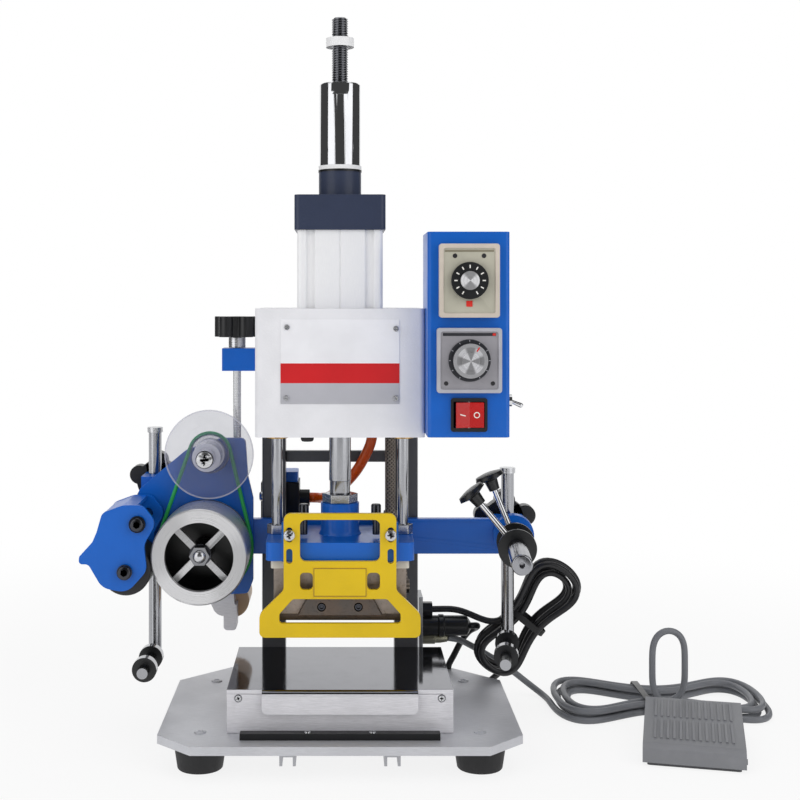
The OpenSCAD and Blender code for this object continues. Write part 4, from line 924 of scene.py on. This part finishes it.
def make_base():
    dressed("base_plate", "plate_aluminium", edge=0.7)
    dressed("rubber_feet", "rubber", edge=0.8)
    dressed("base_rails", "ground_grey", edge=0.3)
    dressed("front_strip", "strip_black", edge=0.4)
    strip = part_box("front_strip")[1]
    half_gap, sunk = 22 * MM, 1 * MM
    spots = [(x, middle("front_strip").y, strip.z - sunk) for x in (-half_gap, half_gap)]
    screws("strip_screws", spots, UP, radius=2.3, height=1.6, depth=0.9)
    bolts = MOUNTS["foot_bolts"]["dims"]
    half_x, half_y = bolts["spacing_x_mm"] / 2 * MM, bolts["spacing_y_mm"] / 2 * MM
    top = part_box("base_plate")[1].z
    spots = [(x, y, top) for x in (-half_x, half_x) for y in (-half_y, half_y)]
    screws("foot_screws", spots, UP, radius=4.2, height=0.9, depth=0.6, outline=hex_outline,
           finish="plate_aluminium", edge=0.15, twist=0.3, step=0)


def make_table():
    dressed("table_block", "satin", edge=0.6)
    dressed("table_plate", "mirror_plate", "satin", edge=0.4, choose=lambda p, n: n.z < 0.5)
    low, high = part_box("table_block")
    inset, sunk, drop = 8 * MM, 2.4 * MM, 3.2 * MM
    spots = [(x, low.y + sunk, high.z - drop) for x in (low.x + inset, high.x - inset)]
    screws("table_screws", spots, TO_FRONT, radius=2.5, height=2.2, depth=1.2)


def make_label():
    """Bare plate on the housing's front, in three bands of colour, with a screw near each corner."""
    low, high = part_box("housing")
    half_w, half_h = sizes().label_w / 2, sizes().label_h / 2
    thick, margin = 0.5 * MM, 7.5 * MM
    front = low.y - thick
    centre_z = high.z - margin - half_h
    bands = [centre_z + share * sizes().label_h for share in (-0.255, -0.02)]
    bm = bmesh.new()
    block(bm, (-half_w, front, centre_z - half_h), (half_w, low.y, centre_z + half_h))
    for z in bands:
        cut(bm, (0, 0, z), UP)
    for face in bm.faces:
        face.material_index = sum(face.calc_center_median().z < z for z in bands)
    solid("label_plate", bm, "frame", ["label_white", "label_red", "label_grey"], edge=0.15)
    housing_z = middle("housing").z
    corners = ((-37, 32), (39, 31), (-37.5, -17.5), (39, -17.5))
    spots = [(x * MM, front, housing_z + z * MM) for x, z in corners]
    screws("label_screws", spots, TO_FRONT, radius=2.1, height=1.2, depth=0.7)


def make_head():
    dressed("support_posts", "post_grey", edge=0.8)
    dressed("housing", "white", edge=1.0)
    back_screws("housing_back_screws", "housing", inset=9)
    make_label()
    guide_x, bush_r = 46, 10
    dressed("guide_plate", "ground_grey", "brass", edge=0.4,
            choose=lambda p, n: math.hypot(abs(p.x) - guide_x, p.y) < bush_r)
    bumper_x, bumper_y = -23 * MM, -40 * MM
    bm = bmesh.new()
    lathe(bm, [(0, 0), (4.6, 0), (4.6, 2), (3.8, 3.4), (0, 3.4)],
          (bumper_x, bumper_y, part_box("housing")[0].z), DOWN, steps=32)
    solid("housing_bumper", bm, "frame", ["rubber"], edge=0.3)
    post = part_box("support_posts")[0]
    half_post, screw_z = 9 * MM, 168.5 * MM
    spots = [(post.x, post.y + half_post, screw_z)]
    screws("post_screw", spots, TO_LEFT, radius=3.6, height=2.6, depth=1.2)


def make_cylinder():
    dressed("cylinder_caps", "navy", edge=0.9)
    dressed("barrel", "anodised", edge=0.25)
    bumper_h, slack = 3, 0.02
    sleeve_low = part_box("stop_sleeve")[0].z
    seam = sleeve_low / MM + bumper_h + slack
    dressed("stop_sleeve", "white_nut", "chrome", edge=0.6, choose=lambda p, n: p.z > seam)
    cap_h, inset, sunk = 25 * MM, 8.5 * MM, 7 * MM
    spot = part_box("cylinder_caps")[1].x - inset
    head_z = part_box("barrel")[1].z + cap_h - sunk
    spots = [(x, y, head_z) for x in (-spot, spot) for y in (-spot, spot)]
    screws("cap_screws", spots, UP, radius=3.3, height=5.6, depth=3, outline=hex_outline,
           finish="black_oxide", edge=0.2, twist=0.2, step=0)
    bm = bmesh.new()
    lathe(bm, [(15.55, -1.6), (15.9, -1.6), (15.9, -0.05), (15.55, -0.05), (15.55, -1.6)], (0, 0, sleeve_low))
    solid("boss_ring", bm, "frame", ["black"])


def screw_thread(bm, radius, low, high, pitch):
    """A right-hand thread about Z between two heights, all in metres."""
    steps = 28
    root = radius - pitch * 0.5
    turns = math.ceil((high - low) / pitch) + 1
    outline = [(root, 0), (radius, 0.4), (radius, 0.55), (root, 0.95), (root, 1)]
    verts = [bm.verts.new((r, 0, low - pitch + z * pitch)) for r, z in outline]
    edges = [bm.edges.new(pair) for pair in zip(verts, verts[1:])]
    bmesh.ops.spin(bm, geom=verts + edges, cent=(0, 0, 0), axis=UP, dvec=(0, 0, pitch / steps),
                   angle=FULL_TURN * turns, steps=steps * turns)
    bmesh.ops.remove_doubles(bm, verts=bm.verts, dist=1e-6)
    cut(bm, (0, 0, low), DOWN, trim=True)
    cut(bm, (0, 0, high), UP, trim=True)
    bmesh.ops.holes_fill(bm, edges=[e for e in bm.edges if e.is_boundary])
    bmesh.ops.recalc_face_normals(bm, faces=bm.faces)


def make_stroke_screw():
    """Stop nut, and the screw with its thread, which runs from inside the stop sleeve to near the top."""
    radius, core, chamfer, hidden, overlap = 6, 5.1, 0.8, 30, 1
    low, high = (corner.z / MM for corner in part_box("stroke_screw"))
    thread_low, thread_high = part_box("stop_sleeve")[1].z / MM - hidden, high - 1
    bm = node_mesh("stroke_screw")
    shank = [v for v in bm.verts if math.hypot(v.co.x, v.co.y) < 1.1 * radius * MM]
    bmesh.ops.delete(bm, geom=shank, context="VERTS")
    solid("stop_nut", bm, "ram", ["white_nut"], edge=0.5)
    bm = bmesh.new()
    screw_thread(bm, radius * MM, thread_low * MM, thread_high * MM, sizes().thread)
    core_top, tip_low = thread_low + overlap, thread_high - overlap
    lathe(bm, [(0, low), (core, low), (core, core_top), (0, core_top)])
    lathe(bm, [(0, tip_low), (core, tip_low), (core, high - chamfer), (core - chamfer, high), (0, high)])
    solid("stroke_screw_skin", bm, "ram", ["screw_steel"],
          replaced=["stroke_screw"], crease=30)


def make_ram():
    dressed("piston_rod", "rod_steel", edge=0.3)
    make_stroke_screw()
    dressed("ram_fasteners", "bright_steel", edge=0.5)
    dressed("crosshead", "blue", edge=0.8)
    dressed("guide_rods", "rod_steel", edge=0.3)
    dressed("insulation_plate", "board", edge=0.3)
    dressed("heater_block", "heater", edge=0.5)
    braid_drop = 60
    braid_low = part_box("crosshead")[1].z / MM - braid_drop
    dressed("heater_lead", "braid", "black", edge=0.3, choose=lambda p, n: p.z < braid_low)
    dressed("die_plate", "die", "die_face", edge=0.4, choose=lambda p, n: n.z < -FACING)
    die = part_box("die_plate")[0]
    half_gap, sunk, lift = 13 * MM, 2.4 * MM, 10.5 * MM
    spots = [(x, die.y + sunk, die.z + lift) for x in (-half_gap, half_gap)]
    screws("die_screws", spots, TO_FRONT, radius=2.8, height=2.2, depth=1.4, outline=hex_outline,
           body="ram", finish="black_oxide")
    stud_x, stud_y, stud_z = 26 * MM, -16 * MM, 152 * MM
    bm = bmesh.new()
    for x in (-stud_x, stud_x):
        lathe(bm, [(0, 0), (2.6, 0), (2.6, 12), (3.6, 12.4), (3.6, 21), (2.9, 22), (0, 22)],
              (x, stud_y, stud_z), steps=24)
    solid("crosshead_studs", bm, "ram", ["black_oxide"], edge=0.2)


def make_guard():
    dressed("guard", "yellow", edge=0.45)
    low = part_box("guard")[0]
    half_w, height, lift, thick = 18.8 * MM, 20.4 * MM, 28.7 * MM, 0.5 * MM
    margin, line = 0.4 * MM, 0.8 * MM
    bm = bmesh.new()
    block(bm, (-half_w, low.y - thick, low.z + lift), (half_w, low.y, low.z + lift + height))
    front = [f for f in bm.faces if f.normal.y < -FACING]
    bmesh.ops.inset_region(bm, faces=front, thickness=margin)
    for face in bmesh.ops.inset_region(bm, faces=front, thickness=line)["faces"]:
        face.material_index = 1
    solid("sign_plate", bm, "ram", ["yellow", "sign_line"], edge=0.1)
    half_gap, slot_lift = 35.5 * MM, 19.5 * MM
    slot_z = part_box("crosshead")[0].z + slot_lift
    spots = [(x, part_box("ram_fasteners")[0].y, slot_z) for x in (-half_gap, half_gap)]
    screws("guard_screw_heads", spots, TO_FRONT, radius=3.6, height=1.1, depth=0.9, body="ram")


def dial_ticks(bm, centre, front, angles, inner, outer, width):
    """Raised marks round an axis along Y, at degrees clockwise from the top."""
    raised = 0.2
    spot = Matrix.Translation((centre.x, front, centre.z))
    tick = Matrix.Translation(mm(0, 0, (inner + outer) / 2))
    size = Matrix.Diagonal((*mm(width, raised, outer - inner), 1))
    for angle in angles:
        cube(bm, spot @ Matrix.Rotation(math.radians(angle), 4, "Y") @ tick @ size)


def face_pegs(bm, at, half_gap, up, radius):
    """A pair of low round pegs on an instrument's face, in millimetres from the point at."""
    for x in (-half_gap, half_gap):
        lathe(bm, [(0, 0.5), (radius, 0.5), (radius + 0.3, 0)], at + mm(x, 0, up), TO_FRONT, steps=20)


def face_bar(bm, at, across, up, thick, finish):
    """A flat bar on an instrument's face, between two places each way in millimetres from the point at."""
    block(bm, at + mm(across[0], -thick, up[0]), at + mm(across[1], 0, up[1]), finish)


def make_timer():
    """Timer with the pegs, a painted shadow under the top of the recess, and the red lamp on its face, and
    its dial.
    """
    dial = middle("timer_dial")
    low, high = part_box("timer")
    recess, dial_step, slack = 1 * MM, 2 * MM, 0.1
    face = low.y + recess
    behind = face / MM - slack
    dressed("timer", "timer_frame", "timer_face", edge=0.35,
            choose=lambda p, n: n.y < -FACING and p.y > behind)
    top, foot = Vector((dial.x, face, high.z)), Vector((dial.x, face, low.z))
    bm = bmesh.new()
    face_pegs(bm, top, half_gap=9.8, up=-8.2, radius=1.3)
    # Dark strip across the top of the face: painted shadow under the recess's top edge
    face_bar(bm, top, across=(-16.5, 16.5), up=(-5.6, -4.2), thick=0.2, finish=2)
    face_bar(bm, foot, across=(-2.2, 2), up=(7.4, 11.4), thick=0.5, finish=1)
    solid("timer_lamp_pegs_and_shadow", bm, "frame", ["mark_dark", "lamp_red", "painted_recess_shadow"], edge=0.15)
    dial_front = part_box("timer_dial")[0].y + dial_step
    cap_back = dial_front / MM - slack
    dressed("timer_dial", "black", "dial_cap", edge=0.35, choose=lambda p, n: p.y < cap_back)
    bm = bmesh.new()
    dial_ticks(bm, dial, dial_front, TICK_ANGLES, inner=8.4, outer=10.6, width=0.8)
    solid("timer_marks", bm, "timer_dial_body", ["mark_white"])


def make_controller():
    """Temperature controller with the pegs, band and red lamp on its face, its scale and its knob."""
    knob = middle("temp_knob")
    low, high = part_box("temp_controller")
    recess, knob_step, slack = 1.6 * MM, 2 * MM, 0.1
    front, ring_r = low.y / MM, 14.6
    ring_back, face_front, wall_back = front + 0.3, front + 1.3, front + 1.7

    def plate_finish(p, n):
        if n.y < -FACING:
            return 2 if p.y < ring_back else p.y > face_front
        return 2 if off_axis(p, knob) < ring_r and p.y < wall_back else 0

    dressed("temp_controller", "controller_frame", "controller_face", "ring_dark", edge=0.35,
            choose=plate_finish)
    face = low.y + recess
    top, foot = Vector((knob.x, face, high.z)), Vector((knob.x, face, low.z))
    bm = bmesh.new()
    face_pegs(bm, foot, half_gap=15.8, up=6.5, radius=1.2)
    face_bar(bm, top, across=(-18, 18), up=(-5.4, -3.4), thick=0.2, finish=2)
    face_bar(bm, top, across=(15.6, 17.8), up=(-5.2, -3.6), thick=0.4, finish=1)
    solid("controller_lamps", bm, "frame", ["mark_dark", "lamp_red", "ring_dark"],
          edge=0.15)
    bm = bmesh.new()
    dial_ticks(bm, knob, low.y, TICK_ANGLES, inner=12.8, outer=14, width=0.5)
    solid("controller_marks", bm, "frame", ["controller_frame"])
    knob_front, pointer_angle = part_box("temp_knob")[0].y + knob_step, 33
    skirt = knob_front / MM + slack
    dressed("temp_knob", "knob_chrome", "ring_dark", edge=0.5,
            choose=lambda p, n: abs(n.y) < 0.5 and p.y > skirt)
    bm = bmesh.new()
    dial_ticks(bm, knob, knob_front, [pointer_angle], inner=7.5, outer=10.8, width=0.9)
    solid("knob_pointer", bm, "temp_knob_body", ["lamp_red"])


def make_rocker():
    """Power rocker with a bar raised on its left side and a ring on its right."""
    raised = 0.15
    bm = node_mesh("rocker")
    sides = sorted((f for f in bm.faces if f.normal.y < -0.8), key=lambda f: f.calc_center_median().x)
    left, right = [(f.calc_center_bounds(), f.normal.copy()) for f in (sides[0], sides[-1])]
    bm.free()
    dressed("rocker", "red", edge=0.5)
    bm = bmesh.new()
    block(bm, mm(-2, -0.35, 0), mm(2, 0.35, raised))
    stand(bm, set(), *left)
    lathe(bm, [(1.5, 0), (2.1, 0), (2.1, raised), (1.5, raised), (1.5, 0)], *right, steps=32)
    solid("rocker_marks", bm, "rocker_body", ["mark_white"])


def make_controls():
    dressed("control_box", "blue", edge=1.0)
    back_screws("box_back_screws", "control_box", inset=7)
    box_side, rocker_y, bright = 115.4, JOINTS["rocker_tip"]["pos_m"][1] / MM, 0.9
    dressed("switch_bezels", "black", "chrome", edge=0.4,
            choose=lambda p, n: p.x > box_side or abs(p.y - rocker_y) < bright)
    make_timer()
    make_controller()
    make_rocker()
    dressed("toggle_lever", "chrome", edge=0.1)


def arc(centre, radius, start, sweep, count):
    """Points along an arc about an axis along Y."""
    angles = [start + sweep * i / count for i in range(count + 1)]
    return [(centre.x + radius * math.cos(a), centre.y, centre.z + radius * math.sin(a)) for a in angles]


def make_drum():
    """Feed drum: turned rim and spokes, painted shade (black) on the hollow behind them, and a domed nut on
    its black stud.
    """
    drum = middle("feed_drum")
    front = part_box("feed_drum")[0].y / MM
    hub_r, bore_low, bore_high, dome_seat = 8.2, 20, 31.5, 3
    dome_back, spoke_front, nut_back, spoke_back = 1, 6, 9.9, 20

    def drum_finish(p, n):
        if p.y < front + dome_back:
            return 0
        radius = off_axis(p, drum)
        # The hollow's back wall and its bore behind the spokes are metal, painted black here as shade
        shaded_back_wall = n.y < -FACING and p.y > front + spoke_back
        if radius < hub_r and not shaded_back_wall:
            return 1 if p.y < front + nut_back else 3
        inside = abs(n.y) < 0.3 and bore_low < radius < bore_high and p.y > front + spoke_front
        return 2 if shaded_back_wall or inside else 0

    dressed("feed_drum", "drum_metal", "screw_steel", "black", "black_oxide", edge=0.4, choose=drum_finish)
    bm = bmesh.new()
    dome_at = (drum.x, (front + dome_seat) * MM, drum.z)
    lathe(bm, [(0, 2.8), (2.4, 2.5), (4.1, 1.4), (4.9, 0)], dome_at, TO_FRONT, steps=40)
    solid("drum_dome", bm, "feed_drum_body", ["bright_steel"], crease=60)


def make_belt():
    """Round belt in the grooves of the drum and the reel."""
    belt_y, belt_r, drum_r, reel_r = middle("drive_belt").y, 1.5 * MM, 35.4 * MM, 15.4 * MM
    drum, reel = (Vector(JOINTS[name]["pos_m"]) for name in ("drum_spin", "reel_spin"))
    drum.y = reel.y = belt_y
    way = reel - drum
    heading = math.atan2(way.z, way.x)
    wrap = math.acos((drum_r - reel_r) / way.length)
    path = arc(drum, drum_r, heading + wrap, FULL_TURN - 2 * wrap, 64)
    path += arc(reel, reel_r, heading - wrap, 2 * wrap, 32)
    swept("drive_belt_skin", path, belt_r, "belt", closed=True, replaced=["drive_belt"])


def make_pinch():
    """Pinch lever with its roller, and the socket heads of its axle and its pivot."""
    roller = middle("pinch_roller")
    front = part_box("pinch_lever")[0].y / MM
    head_r, axle_r, head_h = 5.8, 4.2, 2.9
    dressed("pinch_lever", "blue", "black_oxide", edge=0.5,
            choose=lambda p, n: off_axis(p, roller) < (head_r if p.y < front + head_h else axle_r))
    dressed("pinch_roller", "roller", edge=0.4)
    pivot = JOINTS["pinch_open"]["pos_m"]
    for name, spot, body in (
            ("axle_socket", (roller.x, front * MM, roller.z), "pinch_lever_body"),
            ("pivot_socket", (pivot[0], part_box("foil_studs")[0].y, pivot[2]), "frame")):
        screws(name, [spot], TO_FRONT, radius=5, height=2.2, depth=1.5, outline=hex_outline, body=body,
               finish="black_oxide")


def make_foil_feed():
    for node in ("foil_bar", "foil_plate", "clamp_blocks"):
        dressed(node, "blue", edge=0.7)
    bearing_l, can_l = 2.9, 37.3
    can_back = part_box("feed_motor")[1].y / MM - bearing_l
    gear_back = can_back - can_l
    dressed("feed_motor", "satin", "tan", "bright_steel", edge=0.5,
            choose=lambda p, n: (p.y > gear_back and n.y < 0.5) + (p.y > can_back))
    dressed("foil_studs", "dark_steel", edge=0.4)
    make_drum()
    dressed("take_up_reel", "reel", edge=0.4)
    reel, head_out = middle("take_up_reel"), 3.3 * MM
    spot = (reel.x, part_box("take_up_reel")[0].y - head_out, reel.z)
    screws("reel_screw", [spot], TO_FRONT, radius=6, height=1.6, depth=1.2, edge=0.2, twist=0)
    make_belt()
    make_pinch()


def make_guides():
    foot, cap, collar_start, collar_r, rod_r, rod_tip, knob_h, slack = 6, 4, 10, 9.5, 4.5, 0.5, 15.8, 0.02
    for side, x, y, reach, turn in (("left", -144, 62, 70, 0), ("right", 130, 58, 84, -8)):
        low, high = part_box(f"{side}_guide")
        post, top = Vector((x, y, low.z / MM + foot)), high.z / MM - cap
        way = Vector((math.sin(math.radians(turn)), -math.cos(math.radians(turn)), 0))

        def finish(p, n, post=post, way=way, top=top, reach=reach):
            if p.z > top + slack:
                return 2
            along = (p - post).dot(way)
            round_rod = (p - post - along * way).length
            if not collar_start < along < reach - rod_tip or round_rod > collar_r:
                return 0
            return round_rod > rod_r or abs(n.dot(way)) > FACING

        dressed(f"{side}_guide", "rod_steel", "black", "bright_steel", edge=0.4, choose=finish)
        dressed(f"{side}_knob", "black", edge=0.9)
    knob_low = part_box("height_screw")[1].z / MM - knob_h
    dressed("height_screw", "bright_steel", "black", edge=0.7, choose=lambda p, n: p.z > knob_low)


def make_spindle():
    axis = Vector(JOINTS["spindle_spin"]["axis"]).normalized()
    start = Vector(JOINTS["spindle_spin"]["pos_m"]) / MM
    collar_r, screw_end = 14.6, 40.6

    def finish(p, n):
        off = p - start
        return collar_r < (off - axis * off.dot(axis)).length < screw_end

    dressed("foil_spindle", "spindle_metal", edge=0.5)
    dressed("spindle_flanges", "black", "chrome", edge=0.4, choose=finish)


def make_services():
    slack, valve_h, bracket_face, hose_r = 0.03, 28, 65, 4 * MM
    valve_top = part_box("air_valve")[0].z / MM + valve_h + slack
    dressed("air_valve", "strip_black", "blue", edge=0.6, choose=lambda p, n: p.z > valve_top)
    hose = [Vector(p) * MM for p in [HOSE_TOP] + smooth(HOSE_RUN, steps=6) + [HOSE_END]]
    swept("air_hose_skin", hose, hose_r, "air_tube", replaced=["air_hose"])
    dressed("terminal_bracket", "bracket", "black", edge=0.3, choose=lambda p, n: p.x > bracket_face + slack)
    coupler_at = mm(bracket_face, *COUPLER_RUN[0][1:])
    bm = bmesh.new()
    lathe(bm, [(0, 0), (8, 0), (8, 12.6), (8.9, 13), (8.9, 17), (8, 17.4), (8, 35.4), (3.1, 38.4), (0, 38.4)],
          coupler_at, TO_RIGHT)
    solid("heater_coupler_skin", bm, "frame", ["black"],
          replaced=["heater_coupler"], edge=0.4)
    lead = [p * MM for p in smooth(COUPLER_RUN, steps=6)]
    swept("coupler_lead", lead, sizes().cord / 2, "mains_sheath")
    dressed("pedal_connector", "connector", edge=0.35)


def make_pedal():
    dressed("pedal_base", "pedal_dark", edge=0.5)
    dressed("treadle", "pedal", edge=0.35)


class STAMPING_OT_finishes(bpy.types.Operator):
    """Make the procedural finishes"""
    bl_idname = "stamping.finishes"
    bl_label = "Finishes"

    def execute(self, context):
        make_finishes()
        return {"FINISHED"}


class STAMPING_OT_stage(bpy.types.Operator):
    """Set camera, light and floor"""
    bl_idname = "stamping.stage"
    bl_label = "Stage"

    def execute(self, context):
        make_stage()
        return {"FINISHED"}


class STAMPING_OT_cords(bpy.types.Operator):
    """Lay the pedal cord and the mains lead"""
    bl_idname = "stamping.cords"
    bl_label = "Cords"

    def execute(self, context):
        make_cords()
        return {"FINISHED"}


class STAMPING_OT_base(bpy.types.Operator):
    """Dress the base plate, rails, feet and front strip"""
    bl_idname = "stamping.base"
    bl_label = "Base"

    def execute(self, context):
        make_base()
        return {"FINISHED"}


class STAMPING_OT_table(bpy.types.Operator):
    """Dress the table and its polished plate"""
    bl_idname = "stamping.table"
    bl_label = "Table"

    def execute(self, context):
        make_table()
        return {"FINISHED"}


class STAMPING_OT_head(bpy.types.Operator):
    """Dress the posts, the housing and its label plate"""
    bl_idname = "stamping.head"
    bl_label = "Head"

    def execute(self, context):
        make_head()
        return {"FINISHED"}


class STAMPING_OT_cylinder(bpy.types.Operator):
    """Dress the air cylinder and its stop sleeve"""
    bl_idname = "stamping.cylinder"
    bl_label = "Cylinder"

    def execute(self, context):
        make_cylinder()
        return {"FINISHED"}


class STAMPING_OT_ram(bpy.types.Operator):
    """Dress the rod, crosshead, heater and die"""
    bl_idname = "stamping.ram"
    bl_label = "Ram"

    def execute(self, context):
        make_ram()
        return {"FINISHED"}


class STAMPING_OT_guard(bpy.types.Operator):
    """Dress the yellow guard"""
    bl_idname = "stamping.guard"
    bl_label = "Guard"

    def execute(self, context):
        make_guard()
        return {"FINISHED"}


class STAMPING_OT_controls(bpy.types.Operator):
    """Dress the control box and its instruments"""
    bl_idname = "stamping.controls"
    bl_label = "Controls"

    def execute(self, context):
        make_controls()
        return {"FINISHED"}


class STAMPING_OT_foil_feed(bpy.types.Operator):
    """Dress the drum, reel, belt and pinch roller"""
    bl_idname = "stamping.foil_feed"
    bl_label = "Foil feed"

    def execute(self, context):
        make_foil_feed()
        return {"FINISHED"}


class STAMPING_OT_guides(bpy.types.Operator):
    """Dress the foil guides and the star knobs"""
    bl_idname = "stamping.guides"
    bl_label = "Guides"

    def execute(self, context):
        make_guides()
        return {"FINISHED"}


class STAMPING_OT_spindle(bpy.types.Operator):
    """Dress the foil spindle and its flanges"""
    bl_idname = "stamping.spindle"
    bl_label = "Spindle"

    def execute(self, context):
        make_spindle()
        return {"FINISHED"}


class STAMPING_OT_services(bpy.types.Operator):
    """Dress the valve, tube and connectors"""
    bl_idname = "stamping.services"
    bl_label = "Services"

    def execute(self, context):
        make_services()
        return {"FINISHED"}


class STAMPING_OT_pedal(bpy.types.Operator):
    """Dress the foot pedal"""
    bl_idname = "stamping.pedal"
    bl_label = "Pedal"

    def execute(self, context):
        make_pedal()
        return {"FINISHED"}


OPERATORS = [
    STAMPING_OT_finishes, STAMPING_OT_stage, STAMPING_OT_cords, STAMPING_OT_base, STAMPING_OT_table,
    STAMPING_OT_head, STAMPING_OT_cylinder, STAMPING_OT_ram, STAMPING_OT_guard, STAMPING_OT_controls,
    STAMPING_OT_foil_feed, STAMPING_OT_guides, STAMPING_OT_spindle, STAMPING_OT_services,
    STAMPING_OT_pedal,
]


class STAMPING_PT_build(bpy.types.Panel):
    """Buttons that dress the machine."""
    bl_label = "Foil stamping machine"
    bl_idname = "STAMPING_PT_build"
    bl_space_type = "VIEW_3D"
    bl_region_type = "UI"
    bl_category = "Stamping"

    def draw(self, context):
        for made in OPERATORS:
            self.layout.operator(made.bl_idname)


CLASSES = [StampColours, StampSizes, StampView, *OPERATORS, STAMPING_PT_build]


def register():
    for made in CLASSES:
        bpy.utils.register_class(made)
    bpy.types.Scene.stamp_colours = bpy.props.PointerProperty(type=StampColours)
    bpy.types.Scene.stamp_sizes = bpy.props.PointerProperty(type=StampSizes)
    bpy.types.Scene.stamp_view = bpy.props.PointerProperty(type=StampView)


def unregister():
    del bpy.types.Scene.stamp_view
    del bpy.types.Scene.stamp_sizes
    del bpy.types.Scene.stamp_colours
    for made in reversed(CLASSES):
        bpy.utils.unregister_class(made)


def main():
    register()
    bpy.ops.stamping.finishes()
    bpy.ops.stamping.stage()
    bpy.ops.stamping.cords()
    bpy.ops.stamping.base()
    bpy.ops.stamping.table()
    bpy.ops.stamping.head()
    bpy.ops.stamping.cylinder()
    bpy.ops.stamping.ram()
    bpy.ops.stamping.guard()
    bpy.ops.stamping.controls()
    bpy.ops.stamping.foil_feed()
    bpy.ops.stamping.guides()
    bpy.ops.stamping.spindle()
    bpy.ops.stamping.services()
    bpy.ops.stamping.pedal()


if __name__ == "__main__":
    main()
